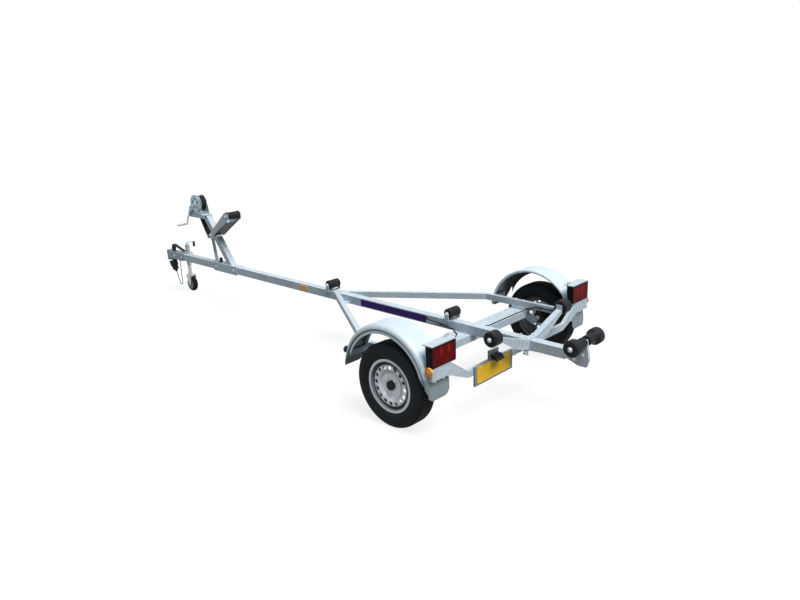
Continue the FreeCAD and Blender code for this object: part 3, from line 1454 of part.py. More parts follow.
def lead_points():
    """From the plug down, round and up to the grommet in the coupling's underside."""
    tail = Vector(number(f"{NOSE} - plug_tail_back"), number("plug_side"), number("plug_tail_level"))
    upward, run = plug_upward(), number("lead_run")
    end_x = number(f"{NOSE} - lead_end_back")
    first = tail - upward * run
    reach = first.x - end_x
    low = first - upward * (reach * math.tan(math.acos(upward.z)) + reach)
    top = number("spine_bottom_level - seat_gap - shank_wall - grommet_depth")
    return [tail, Vector(low.x, tail.y, low.z), Vector(end_x, tail.y, low.z), Vector(end_x, tail.y, top)]


def light_cable_points():
    """Out of the draw tube, along the cross member and the rail, to the light."""
    out = number(f"{SPINE_SIDE} + cable_exit_reach")
    by_tube = number(f"{SPINE_SIDE} + cable_radius + seat_gap")
    on_cross = number("spine_bottom_level + cable_radius + seat_gap")
    inner = number(f"{RAIL_INNER} - cable_radius - seat_gap")
    front = number(f"{LIGHT_FRONT} + bracket_plate")

    def ahead(text):
        return number(f"{AXLE} + {text}")

    exit_level, clip_level = number("cable_exit_level"), number("cable_clip_level")
    light_side = number(f"{LIGHT_INNER} + cable_light_inset")
    light_level = number("cable_light_level")
    leave, rise = number(f"{RAIL_INNER} - cable_leave_inset"), number(f"{RAIL_INNER} - cable_rise_inset")
    return [
        Vector(ahead("cable_exit_ahead"), number(SPINE_SIDE), exit_level),
        Vector(ahead("cable_exit_ahead"), out, exit_level),
        Vector(ahead("cable_clip_ahead"), by_tube, clip_level),
        Vector(ahead("cable_drop_ahead"), by_tube, on_cross + number("cable_drop_rise")),
        Vector(ahead("cable_turn_ahead"), number("cable_turn_side"), on_cross),
        Vector(ahead("cable_edge_ahead"), number("cable_edge_side"), on_cross),
        Vector(ahead("cable_edge_ahead"), leave, on_cross),
        Vector(ahead("cable_rise_ahead"), rise, number("cable_rise_level")),
        Vector(ahead("cable_rail_ahead"), inner, number("cable_rail_level")),
        Vector(ahead("cable_rail_end"), inner, number("cable_rail_level")),
        Vector(front + number("cable_light_run"), light_side, light_level),
        Vector(front, light_side, light_level),
    ]


def wiring_cable():
    bend = number("cable_bend_radius")
    lead = tube("lead", lead_points(), number("lead_radius"), bend)
    left = tube("light_cable", light_cable_points(), number("cable_radius"), bend)
    right = left.mirror(Vector(0, 0, 0), Vector(0, 1, 0))
    end = lead_points()[-1]
    grommet = Part.makeCylinder(number("grommet_radius"), number("grommet_depth"), end, Vector(0, 0, 1))
    cable = doc.addObject("Part::Feature", "wiring_cable")
    cable.Shape = Part.makeCompound([lead.fuse(grommet).removeSplitter(), left, right])
    place(cable)
    node("wiring_cable", cable)


def build():
    spine_tube()
    coupling()
    coupling_handle()
    jack()
    post_foot()
    post()
    post_brace()
    winch_base()
    winch_frame()
    winch_drum()
    winch_strap()
    winch_crank()
    bow_stop()
    side_rails()
    rail_gussets()
    cross_member()
    axle()
    for side in ("left", "right"):
        rim(side)
        tyre(side)
        hub(side)
        cradle_roller(side)
    fenders()
    fender_stays()
    light_beam()
    lights()
    number_plate()
    for name in ("front", "middle"):
        keel_station(name)
    rear_station()
    cradle()
    wiring_plug()
    wiring_cable()


def check_and_write():
    doc.recompute()
    failed = [item.Name for item in doc.Objects if {"Invalid", "Error"} & set(item.State)]
    if failed:
        raise SystemExit(f"objects that failed: {failed}")
    for piece in finished:
        shape = piece.Shape
        if shape.isNull() or not shape.isValid() or not shape.Solids:
            raise SystemExit(f"bad shape: {piece.Label}")
    for piece in finished:
        piece.Shape.exportStep(f"parts/{piece.Label}.step")
    print(len(finished), "pieces written")


build()
check_and_write()
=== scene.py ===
# %% [markdown]
# # Boat trailer: looks
# The solids come from the packed model and stay where they are. This notebook
# gives them materials and adds the small pieces: tread, fasteners, strap,
# seams, lamp details and stickers. Lengths are in metres.

# %% Tools and the frame
import math

import bpy
import bmesh
from mathutils import Matrix, Vector


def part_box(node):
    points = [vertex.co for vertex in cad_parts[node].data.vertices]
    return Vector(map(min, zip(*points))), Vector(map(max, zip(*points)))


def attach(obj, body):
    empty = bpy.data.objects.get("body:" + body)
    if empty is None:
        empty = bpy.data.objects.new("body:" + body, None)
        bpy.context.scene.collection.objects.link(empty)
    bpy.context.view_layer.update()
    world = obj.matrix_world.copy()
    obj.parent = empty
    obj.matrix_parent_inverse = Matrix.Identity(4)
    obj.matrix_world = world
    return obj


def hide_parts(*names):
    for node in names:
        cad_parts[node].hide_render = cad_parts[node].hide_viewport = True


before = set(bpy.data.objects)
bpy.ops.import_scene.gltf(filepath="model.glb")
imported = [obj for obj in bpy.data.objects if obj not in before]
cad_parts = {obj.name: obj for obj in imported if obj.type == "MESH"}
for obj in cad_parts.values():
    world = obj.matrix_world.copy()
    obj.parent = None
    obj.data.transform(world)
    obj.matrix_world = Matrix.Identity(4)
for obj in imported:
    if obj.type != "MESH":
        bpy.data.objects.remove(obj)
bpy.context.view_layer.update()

# %% [markdown]
# ## Places
# Many places are read from the boxes of the solids that carry them. Numbers copied
# from the drawing would do as well, but a box that is read stays right when the
# solid changes.

# %% Places read from the solids
LOW, HIGH = 0, 1
SIDES = (("left", 1), ("right", -1))


def span(node, axis):
    """The lowest and highest value of a solid along one axis."""
    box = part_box(node)
    return box[LOW][axis], box[HIGH][axis]


def middle(node, axis):
    low, high = span(node, axis)
    return (low + high) / 2


AXLE_X = middle("tyre_left", 0)
WHEEL_Y = middle("tyre_left", 1)
WHEEL_Z = middle("tyre_left", 2)
TYRE_R = (span("tyre_left", 0)[HIGH] - span("tyre_left", 0)[LOW]) / 2
SPINE_SIDE = span("draw_tube", 1)[HIGH]
SPINE_LOW, SPINE_TOP = span("draw_tube", 2)
print("axle", round(AXLE_X, 3), "track half", round(WHEEL_Y, 3), "tyre radius", round(TYRE_R, 3))

# %% [markdown]
# ## Camera
# It stands behind the trailer, to its left, at about head height. It could be
# placed by eye, but a place, a yaw, a pitch and a roll say exactly where it is.

# %% Camera
VIEW = {"place": (-4.6345, 3.9253, 2.1303), "yaw": -46.72, "pitch": -16.81, "roll": -1.86}
FOCAL_PX, FRAME_PX, SENSOR_MM, FARTHEST = 707.07, 800, 36.0, 200


def aim(view):
    """The turn that looks along a yaw and pitch, leaned by a roll."""
    yaw, pitch, roll = (math.radians(view[key]) for key in ("yaw", "pitch", "roll"))
    level = math.cos(pitch)
    ahead = Vector((level * math.cos(yaw), level * math.sin(yaw), math.sin(pitch)))
    right = Vector((math.sin(yaw), -math.cos(yaw), 0))
    up = right.cross(ahead)
    leaned_right = right * math.cos(roll) + up * math.sin(roll)
    leaned_up = up * math.cos(roll) - right * math.sin(roll)
    return Matrix((leaned_right, leaned_up, -ahead)).transposed()


camera_data = bpy.data.cameras.new("camera")
camera_data.sensor_width = SENSOR_MM
camera_data.lens = FOCAL_PX / FRAME_PX * SENSOR_MM
camera_data.clip_end = FARTHEST
camera = bpy.data.objects.new("camera", camera_data)
camera.matrix_world = Matrix.Translation(VIEW["place"]) @ aim(VIEW).to_4x4()
bpy.context.collection.objects.link(camera)
bpy.context.scene.camera = camera
bpy.context.scene.view_settings.view_transform = "Standard"
print("lens", round(camera_data.lens, 2))

# %% [markdown]
# ## Shader maths
# A pattern is easiest to read as a formula. Nodes could be made and linked one by
# one, but a small class that wraps a socket lets plain arithmetic do it.

# %% Sockets with arithmetic
class Wire:
    """A node output. Arithmetic on it adds Math nodes; colours go through Mix nodes."""

    def __init__(self, tree, socket):
        self.tree, self.socket = tree, socket

    def _math(self, kind, *values, clamp=False):
        node = self.tree.nodes.new("ShaderNodeMath")
        node.operation, node.use_clamp = kind, clamp
        for slot, value in zip(node.inputs, values):
            feed(self.tree, slot, value)
        return Wire(self.tree, node.outputs[0])

    def __add__(self, other):
        return self._math("ADD", self, other)

    def __sub__(self, other):
        return self._math("SUBTRACT", self, other)

    def __rsub__(self, other):
        return self._math("SUBTRACT", other, self)

    def __mul__(self, other):
        return self._math("MULTIPLY", self, other)

    def __truediv__(self, other):
        return self._math("DIVIDE", self, other)

    def __neg__(self):
        return self * -1.0

    __radd__, __rmul__ = __add__, __mul__

    def above(self, level, soft):
        """0 below a level and 1 above it, with a soft step."""
        return self._math("ADD", (self - level) / soft, 0.5, clamp=True)

    def larger(self, other):
        return self._math("MAXIMUM", self, other)

    def sine(self):
        return self._math("SINE", self)

    def absolute(self):
        return self._math("ABSOLUTE", self)

    def power(self, exponent):
        return self._math("POWER", self, exponent)

    def mix(self, dark, pale):
        """A colour between two colours."""
        node = self.tree.nodes.new("ShaderNodeMix")
        node.data_type = "RGBA"
        for slot, value in ((0, self), (6, dark), (7, pale)):
            feed(self.tree, node.inputs[slot], value)
        return Wire(self.tree, node.outputs[2])


def feed(tree, slot, value):
    """Put a number, a colour or a wire on an input."""
    if isinstance(value, Wire):
        tree.links.new(value.socket, slot)
    elif isinstance(value, tuple) and len(value) == 3 and len(slot.default_value) == 4:
        slot.default_value = (*value, 1.0)
    else:
        slot.default_value = value


print("a wire can", sorted(name for name in vars(Wire) if name.isalpha()))

# %% One material's node tree
NOISE_ROUGHNESS = 0.55


def add_node(tree, kind, output, inputs, **settings):
    """Any other node, by its kind, the output wanted, its inputs and its settings."""
    made = tree.nodes.new(kind)
    for key, value in settings.items():
        setattr(made, key, value)
    for key, value in inputs.items():
        feed(tree, made.inputs[key], value)
    return Wire(tree, made.outputs[output])


class Sheet:
    """One material's node tree, with short calls for the textures used here."""

    SOCKETS = {"colour": "Base Color", "rough": "Roughness", "metal": "Metallic",
               "coat": "Coat Weight", "coat_rough": "Coat Roughness",
               "shine": "Specular IOR Level", "glow": "Emission Color",
               "glow_strength": "Emission Strength"}

    def __init__(self, name):
        self.material = bpy.data.materials.new(name)
        self.material.use_nodes = True
        self.tree = self.material.node_tree
        self.shader = self.tree.nodes["Principled BSDF"]
        self.place = self.node("ShaderNodeTexCoord", "Object", {})

    def node(self, kind, output, inputs, **settings):
        return add_node(self.tree, kind, output, inputs, **settings)

    def noise(self, scale, detail=3.0, at=None):
        inputs = {"Vector": at or self.place, "Scale": scale, "Detail": detail,
                  "Roughness": NOISE_ROUGHNESS}
        return self.node("ShaderNodeTexNoise", "Fac", inputs)

    def stretched(self, scales):
        return self.node("ShaderNodeMapping", "Vector", {"Vector": self.place, "Scale": scales})

    def facing(self):
        return self.node("ShaderNodeTexCoord", "Normal", {})

    def axis(self, name, at=None):
        return self.node("ShaderNodeSeparateXYZ", name, {"Vector": at or self.place})

    def around(self, centre_x, centre_z):
        """Parts along and up from a line across the trailer, and the distance from it."""
        along, up = self.axis("X") - centre_x, self.axis("Z") - centre_z
        return along, up, (along * along + up * up).power(0.5)

    def set(self, **values):
        for key, value in values.items():
            feed(self.tree, self.shader.inputs[self.SOCKETS[key]], value)
        return self

    def bump(self, height, strength, distance):
        inputs = {"Height": height, "Strength": strength, "Distance": distance}
        normal = self.node("ShaderNodeBump", "Normal", inputs)
        feed(self.tree, self.shader.inputs["Normal"], normal)
        return self


print("sockets that a finish can set", sorted(Sheet.SOCKETS))

# %% [markdown]
# ## Zinc and steel
# The frame is hot-dip zinc: a pale blue grey with a fine crystal pattern and
# cloudy patches, duller than polished steel. A photograph could be wrapped
# round it, but noise and Voronoi cells give the same look from any side. The
# fenders are pressed from smoother sheet, so they are paler and cooler.

# %% Hot-dip zinc
# The colour of the painted shade on faces that look down.
PAINTED_UNDER_SHADE = (0.045, 0.058, 0.075)
FRAME_DARK, FRAME_PALE = (0.35, 0.43, 0.49), (0.70, 0.78, 0.85)


def zinc_tone(m, crystal_size):
    """The pattern of the zinc: crystals, clouds and faint streaks, from 0 to 1."""
    cells = m.node("ShaderNodeTexVoronoi", "Color", {"Vector": m.place, "Scale": crystal_size})
    crystal = m.node("ShaderNodeRGBToBW", "Val", {"Color": cells})
    cloud = m.noise(3.2, 4.0)
    streak = m.noise(1.0, 3.0, at=m.stretched((4.0, 4.0, 26.0)))
    return crystal, cloud, crystal * 0.40 + cloud * 0.66 + streak * 0.24 - 0.17


def galvanised(name, dark, pale, crystal_size=55.0, darkening=0.0):
    """Hot-dip zinc. Painted shade can be laid on the faces that look down."""
    m = Sheet(name)
    crystal, cloud, tone = zinc_tone(m, crystal_size)
    colour = tone.mix(dark, pale)
    if darkening:
        # Faces that look down are painted darker: painted shade under the part.
        faces_down = -m.axis("Z", m.facing())
        colour = (faces_down.above(0.3, 0.3) * darkening).mix(colour, PAINTED_UNDER_SHADE)
    m.set(colour=colour, metal=0.04, rough=crystal * 0.14 + cloud * 0.16 + 0.29, shine=0.12)
    return m.bump(m.noise(420.0, 2.0) + crystal * 0.5, 0.16, 0.0006).material


ZINC = galvanised("galvanised", FRAME_DARK, FRAME_PALE)
# The bow stop arm's zinc, with painted shade on its underside.
UNDER_SHADED_ZINC = galvanised("galvanised_painted_under_shade", FRAME_DARK, FRAME_PALE, darkening=0.97)
# The rolled fender edges: zinc paler than the fender's, a painted sheen over the rolled shoulder.
SHEEN_FOLD_ZINC = galvanised("fold_zinc_painted_sheen", (0.60, 0.70, 0.77), (0.80, 0.90, 0.95), crystal_size=38.0)
print("hot-dip zincs", [m.name for m in (ZINC, UNDER_SHADED_ZINC, SHEEN_FOLD_ZINC)])

# %% The fenders' zinc
FENDER_X, FENDER_Z = -1.668, 0.314


def fender_sheet():
    """Zinc with painted shade inside the arch, a painted shadow in the groove above the rolled lip,
    and darker low on the rear.
    """
    m = Sheet("fender_zinc")
    crystal, cloud, tone = zinc_tone(m, 38.0)
    plain_zinc = tone.mix((0.52, 0.62, 0.69), (0.69, 0.785, 0.85))
    along, up, radius = m.around(FENDER_X, FENDER_Z)
    side = m.axis("Y")
    aside = side.absolute()
    facing = m.facing()
    faces_along, faces_up, faces_aside = (m.axis(name, facing) for name in ("X", "Z", "Y"))
    inward = -(faces_along * along + faces_up * up) / radius
    to_side = aside.above(0.80, 0.02) - faces_aside * side / aside - 1
    # Faces inside the arch and the inner faces of the lip get painted shade.
    below = inward.above(0.25, 0.2).larger(to_side.above(0.45, 0.2))
    lip = radius.above(0.3375, 0.004) * (1 - radius.above(0.3475, 0.005))
    # The groove above the rolled lip gets a dark line of painted shadow.
    groove = lip * aside.above(0.930, 0.004)
    painted_arch_shade = m.noise(9.0, 4.0).mix((0.030, 0.042, 0.042), (0.085, 0.105, 0.105))
    # Darker low on the rear of the arch, below the light beam.
    low_rear = (-m.axis("Z")).above(-0.418, 0.02) * (-along).above(0.30, 0.05)
    darkening = (low_rear * (m.noise(7.0) * 0.3 + 0.60)).mix(plain_zinc, (0.13, 0.165, 0.175))
    colour = below.mix((groove * 0.60).mix(darkening, (0.16, 0.20, 0.23)), painted_arch_shade)
    m.set(colour=colour, metal=0.08, rough=crystal * 0.12 + cloud * 0.14 + 0.30, shine=0.3)
    return m.bump(m.noise(420.0, 2.0) + crystal * 0.5, 0.14, 0.0006).material


FENDER_ZINC = fender_sheet()
print("the fender arches are centred on x", FENDER_X, "and z", FENDER_Z)

# %% Plated and cast metal
def plated(name, dark, pale, rough=0.32, metal=0.5):
    """Bright zinc plate, brushed along its length."""
    m = Sheet(name)
    cloud = m.noise(24.0, 3.0)
    brushed = m.noise(9.0, 2.0, at=m.stretched((12.0, 12.0, 160.0)))
    colour = (cloud * 0.7 + brushed * 0.3).mix(dark, pale)
    m.set(colour=colour, metal=metal, rough=cloud * 0.18 + rough)
    return m.bump(brushed, 0.08, 0.0004).material


def cast_black():
    """The rough casting of the hubs, under thin black paint."""
    m = Sheet("cast_black")
    colour = m.noise(22.0).mix((0.012, 0.014, 0.017), (0.040, 0.044, 0.050))
    m.set(colour=colour, metal=0.1, rough=0.55, shine=0.12)
    return m.bump(m.noise(260.0, 3.0), 0.35, 0.0008).material


WINCH_ZINC = plated("winch_zinc", (0.30, 0.45, 0.50), (0.52, 0.70, 0.74), 0.30, 0.3)
BRIGHT = plated("bright_plate", (0.46, 0.50, 0.53), (0.74, 0.77, 0.79), 0.26, 0.45)
COUPLING = plated("coupling_plate", (0.11, 0.15, 0.18), (0.28, 0.34, 0.39), 0.34, 0.3)
# A dark plate for the painted shade in the gear's windows.
GEAR_SHADE = plated("gear_shade", (0.03, 0.08, 0.09), (0.07, 0.15, 0.16), 0.4, 0.1)
WELD = plated("weld_metal", (0.36, 0.40, 0.44), (0.56, 0.61, 0.65), 0.45, 0.2)
HUB_STEEL = cast_black()
METALS = (WINCH_ZINC, BRIGHT, COUPLING, GEAR_SHADE, WELD, HUB_STEEL)
print("plated and cast metals", [m.name for m in METALS])

# %% [markdown]
# ## Wheel paint
# The pressed steel discs are sprayed silver. The pressed ring between disc and rim is
# painted dark, as painted shade in that deep groove: the shade follows the distance from
# the axle, which Object coordinates give directly.
# The same distance drives a bump that deepens the step of the dish.

# %% Wheel paint
GROOVE, GROOVE_END, DISH = (0.139, 0.012), (0.166, 0.012), (0.096, 0.024)


def wheel_paint():
    """Silver paint, with painted shade in the pressed ring, darker on the barrel and on the back of
    the disc.
    """
    m = Sheet("wheel_silver")
    fleck = m.noise(900.0, 2.0)
    dust = m.noise(16.0, 4.0)
    radius = m.around(AXLE_X, WHEEL_Z)[2]
    aside = m.axis("Y").absolute()
    # Painted shade in the deep pressed ring between disc and rim.
    groove = radius.above(*GROOVE) * (1 - radius.above(*GROOVE_END))
    # Darker on the barrel and on the back of the disc.
    barrel = (1 - aside.above(WHEEL_Y + 0.030, 0.008)) * (1 - radius.above(0.150, 0.01))
    back = 1 - aside.above(WHEEL_Y + 0.01, 0.01)
    dark = (groove * 0.88).larger(barrel * 0.9).larger(back * 0.94)
    paint = (fleck * 0.4 + dust * 0.6).mix((0.60, 0.66, 0.71), (0.93, 0.96, 0.98))
    m.set(colour=dark.mix(paint, (0.022, 0.026, 0.030)), metal=0.16, rough=dust * 0.2 + 0.26)
    m.set(shine=0.3, coat=0.15, coat_rough=0.2)
    return m.bump(radius.above(*DISH) + m.noise(120.0) * 0.01, 0.9, 0.018).material


SILVER = wheel_paint()
print("wheel paint", SILVER.name)

# %% [markdown]
# ## Rubber and plastic
# Road rubber is nearly black and shines little, so its specular level is low.
# Dust makes it paler in patches. The mouldings are finer grained and glossier.

# %% Rubber and plastic
def rubber(name, dark, dusty, rough=0.6, shine=0.12):
    """Rubber with dust in patches."""
    m = Sheet(name)
    dust = m.noise(14.0, 5.0)
    m.set(colour=dust.above(0.55, 0.5).mix(dark, dusty), rough=dust * 0.18 + rough, shine=shine)
    return m.bump(m.noise(380.0, 3.0), 0.22, 0.0006).material


def moulded(name, dark, pale, rough=0.42, shine=0.15):
    """Moulded plastic with a fine grain."""
    m = Sheet(name)
    cloud = m.noise(9.0, 3.0)
    m.set(colour=cloud.mix(dark, pale), rough=cloud * 0.12 + rough, shine=shine)
    return m.bump(m.noise(300.0, 2.0), 0.18, 0.0005).material


TYRE = rubber("tyre_rubber", (0.008, 0.010, 0.012), (0.026, 0.030, 0.033), 0.65)
ROLLER = rubber("roller_rubber", (0.006, 0.007, 0.009), (0.020, 0.021, 0.025), 0.46, 0.16)
BLACK = moulded("black_plastic", (0.006, 0.007, 0.009), (0.018, 0.019, 0.022))
CABLE = moulded("cable_sheath", (0.006, 0.007, 0.008), (0.018, 0.019, 0.021), 0.38)
DARK_SHELL = moulded("lamp_back", (0.004, 0.003, 0.005), (0.010, 0.009, 0.012), 0.40, 0.06)
HOLDER = moulded("plate_holder", (0.22, 0.25, 0.28), (0.34, 0.38, 0.41), 0.40)
print("rubbers and plastics", [m.name for m in (TYRE, ROLLER, BLACK, CABLE, DARK_SHELL, HOLDER)])

# %% [markdown]
# ## Lenses, number plate and webbing
# The lenses are coloured acrylic over a dark reflector, which makes them deep
# in daylight. Real ribs inside would cost many faces, so a sine pattern stands
# for them in the bump. The webbing's twill is two sines multiplied.

# %% Lenses, number plate and webbing
TWILL_ACROSS, TWILL_ALONG = 0.0026, 0.0034


def waves(along, pitch):
    """A sine along a wire, with one wave for each pitch."""
    return (along * (2 * math.pi / pitch)).sine()


def lens(name, deep, bright, pitch=0.0045):
    """Coloured acrylic, with the fine upright ribs moulded inside it."""
    m = Sheet(name)
    rib = waves(m.axis("Y"), pitch) * 0.5 + 0.5
    ring = waves(m.axis("Z"), pitch) * 0.5 + 0.5
    colour = (rib * 0.3 + ring * 0.3 + m.noise(30.0) * 0.4).mix(deep, bright)
    m.set(colour=colour, rough=0.16, shine=0.03)
    return m.bump(rib * ring, 0.25, 0.0006).material


def enamel(name, colour, pale):
    """The paint of the plate, strips, thread and cap."""
    m = Sheet(name)
    m.set(colour=m.noise(30.0, 4.0).mix(colour, pale), rough=m.noise(70.0) * 0.12 + 0.36)
    m.set(shine=0.1)
    return m.bump(m.noise(240.0), 0.06, 0.0003).material


def webbing():
    """A twill weave across and along the strap, which lies round the drum."""
    m = Sheet("strap_webbing")
    across_it = waves(m.axis("Y"), TWILL_ACROSS)
    weave = across_it * waves(m.axis("Z") + m.axis("X"), TWILL_ALONG) * 0.5 + 0.5
    shade = weave * 0.7 + m.noise(40.0) * 0.3
    m.set(colour=shade.mix((0.005, 0.005, 0.007), (0.022, 0.022, 0.026)), rough=0.82, shine=0.2)
    return m.bump(weave, 0.5, 0.0008).material


RED = lens("red_lens", (0.085, 0.0005, 0.001), (0.20, 0.002, 0.003))
DEEP_RED = lens("red_reflex", (0.20, 0.004, 0.005), (0.40, 0.014, 0.014), 0.0032)
AMBER = lens("amber_lens", (1.0, 0.36, 0.07), (1.0, 0.56, 0.16))
CLEAR = lens("clear_lens", (0.45, 0.48, 0.52), (0.72, 0.75, 0.78))
YELLOW = enamel("plate_yellow", (0.96, 0.52, 0.02), (1.0, 0.64, 0.045))
PURPLE = enamel("strip_purple", (0.028, 0.009, 0.12), (0.052, 0.015, 0.19))
BLUE = enamel("cap_blue", (0.012, 0.022, 0.09), (0.02, 0.04, 0.15))
THREAD = enamel("stitch_thread", (0.70, 0.72, 0.76), (0.82, 0.84, 0.88))
WEB = webbing()
LENSES = (RED, DEEP_RED, AMBER, CLEAR)
print("lenses and paints", [m.name for m in LENSES + (YELLOW, PURPLE, BLUE, THREAD, WEB)])

# %% [markdown]
# ## Materials of the solids
# Each solid keeps its shape and gets the material of its kind. Every solid could
# have its own line, but names that start alike are of one kind, so a short table
# of starts serves them all.

# %% Solids that keep their shape
STARTS = (
    (ZINC, "draw_tube side_rail rail_gussets rail_seats cross_member axle_tube axle_arms "
           "post_foot winch_post post_brace winch_base fender_stays light_beam keel_bracket "
           "roller_arms roller_clamp jack_tube"),
    (UNDER_SHADED_ZINC, "bow_stop_arm"),
    (FENDER_ZINC, "fender"),
    (WINCH_ZINC, "winch_frame winch_drum"),
    (COUPLING, "coupling"),
    (BRIGHT, "jack_crank jack_fork jack_leg winch_crank"),
    (HUB_STEEL, "hub"),
    (SILVER, "rim"),
    (TYRE, "tyre jack_wheel"),
    (ROLLER, "bow_stop_pad keel_roller side_roller"),
    (BLACK, "coupling_handle hub_cap front_lamps plate_lamp wiring_plug"),
    (CABLE, "wiring_cable"),
    (DARK_SHELL, "light_housings"),
    (HOLDER, "plate_holder"),
    (RED, "light_lenses"),
    (AMBER, "side_markers side_reflectors"),
    (YELLOW, "number_plate"),
    (WEB, "winch_strap"),
)
FINISH = {start: material for material, starts in STARTS for start in starts.split()}


def finish_of(node):
    """The longest matching start of the node's name decides its material."""
    starts = [start for start in FINISH if node.startswith(start)]
    return FINISH[max(starts, key=len)]


for node_name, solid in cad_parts.items():
    solid.data.materials.clear()
    solid.data.materials.append(finish_of(node_name))
print("finished solids", len(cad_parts))

# %% [markdown]
# ## Mesh tools
# Small pieces are drawn once with mesh code and repeated by Geometry Nodes. They
# could be modelled by hand, but most are turned shapes, outlines carried
# straight, or flat rims, so three functions make nearly all of them.

# %% Closed meshes
WELD_GAP = 1e-6


def closed(mesh):
    """Weld double points and turn the faces outwards."""
    work = bmesh.new()
    work.from_mesh(mesh)
    bmesh.ops.remove_doubles(work, verts=work.verts, dist=WELD_GAP)
    bmesh.ops.recalc_face_normals(work, faces=work.faces)
    work.to_mesh(mesh)
    work.free()


def from_faces(name, points, faces, material, smooth=False):
    """A closed mesh from points and faces."""
    mesh = bpy.data.meshes.new(name)
    mesh.from_pydata([tuple(point) for point in points], [], faces)
    closed(mesh)
    mesh.materials.append(material)
    for face in mesh.polygons:
        face.use_smooth = smooth
    return mesh


def swept_faces(steps, count, rings):
    """The faces between the rings of a swept outline with count corners."""
    faces = []
    for step in range(steps):
        here, there = step * count, (step + 1) % rings * count
        for index in range(count):
            after = (index + 1) % count
            faces.append((here + index, here + after, there + after, there + index))
    return faces


def prism_faces(count):
    """The two ends and the sides between two outlines with count corners."""
    ends = [tuple(range(count)), tuple(range(count, 2 * count))]
    return ends + swept_faces(1, count, 2)


print("faces of a box", len(prism_faces(4)))

# %% Turned shapes, slabs and flat rims
LAID = {"x": lambda u, v, w: (w, u, v), "y": lambda u, v, w: (u, w, v),
        "z": lambda u, v, w: (u, v, w)}


def lathe(name, outline, material, steps=48, smooth=True, axis="z"):
    """A closed outline of (radius, height) turned about an axis."""
    points = []
    for step in range(steps):
        angle = 2 * math.pi * step / steps
        points += [LAID[axis](radius * math.cos(angle), radius * math.sin(angle), height)
                   for radius, height in outline]
    faces = swept_faces(steps, len(outline), steps)
    return from_faces(name, points, faces, material, smooth)


def slab(name, corners, low, high, axis, material):
    """An outline carried straight along an axis between two planes."""
    points = [LAID[axis](u, v, w) for w in (low, high) for u, v in corners]
    return from_faces(name, points, prism_faces(len(corners)), material)


def rounded(low, high, radius, steps=5):
    """A rounded rectangle between two corners, as an outline."""
    near, far = (low[0] + radius, low[1] + radius), (high[0] - radius, high[1] - radius)
    centres = (far, (near[0], far[1]), near, (far[0], near[1]))
    corners = []
    for quarter, (centre_u, centre_v) in enumerate(centres):
        for step in range(steps + 1):
            angle = math.radians(90 * (quarter + step / steps))
            corners.append((centre_u + radius * math.cos(angle),
                            centre_v + radius * math.sin(angle)))
    return corners


def rim(name, u_span, v_span, outer, inner, low, high, axis, material):
    """A flat rim between two rounded rectangles, each a margin and a radius."""
    (u_low, u_high), (v_low, v_high) = u_span, v_span
    rings = [rounded((u_low + margin, v_low + margin), (u_high - margin, v_high - margin), radius)
             for margin, radius in (outer, inner)]
    points = [LAID[axis](u, v, w) for w in (low, high) for ring in rings for u, v in ring]
    count = len(rings[0])
    faces = []
    for first, second in ((0, 1), (2, 3), (0, 2), (1, 3)):
        for i in range(count):
            j = (i + 1) % count
            a, b = first * count, second * count
            faces.append((a + i, a + j, b + j, b + i))
    return from_faces(name, points, faces, material)


print("shapes lie along", sorted(LAID))

# %% Pieces, copies and places
SHARP_DEGREES = 35


def settle(made):
    """Replace an object's mesh by its mesh with all modifiers applied."""
    graph = bpy.context.evaluated_depsgraph_get()
    mesh = bpy.data.meshes.new_from_object(made.evaluated_get(graph))
    made.modifiers.clear()
    made.data = mesh


def soften(made, width, segments=2):
    """Round the sharp edges and keep the result as a plain mesh."""
    bevel = made.modifiers.new("round", "BEVEL")
    bevel.width, bevel.segments, bevel.limit_method = width, segments, "ANGLE"
    bevel.angle_limit = math.radians(SHARP_DEGREES)
    settle(made)


def piece(name, mesh, body, bevel=None):
    """Put a mesh in the scene as one piece that rides on a body."""
    made = bpy.data.objects.new(name, mesh)
    bpy.context.collection.objects.link(made)
    if bevel:
        soften(made, bevel)
    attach(made, body)
    return made


def merged(name, meshes):
    """Several meshes as one, keeping their materials."""
    work = bmesh.new()
    materials = []
    for mesh in meshes:
        first = len(work.faces)
        work.from_mesh(mesh)
        work.faces.ensure_lookup_table()
        for face in work.faces[first:]:
            material = mesh.materials[face.material_index]
            if material not in materials:
                materials.append(material)
            face.material_index = materials.index(material)
    whole = bpy.data.meshes.new(name)
    work.to_mesh(whole)
    work.free()
    for material in materials:
        whole.materials.append(material)
    return whole


def moved(mesh, matrix):
    copy = mesh.copy()
    copy.transform(matrix)
    return copy


def placed(mesh, place, way):
    """A copy of a mesh, its own Z turned to a direction, at a place."""
    turn = Vector(way).to_track_quat("Z", "Y").to_matrix().to_4x4()
    return moved(mesh, Matrix.Translation(place) @ turn)


def around_axle(degrees):
    """The direction at an angle round a line that lies across the trailer."""
    angle = math.radians(degrees)
    return Vector((math.cos(angle), 0, math.sin(angle)))


print("a quarter turn round the axle points", [round(part, 3) for part in around_axle(90)])

# %% [markdown]
# ## Repeats
# A node group puts a source piece on each point of a mesh, turned so that its
# own Z follows the point's direction, and joins the copies into one mesh. A loop
# could copy meshes too, but the group keeps the number, turn and size of the
# copies in one place.

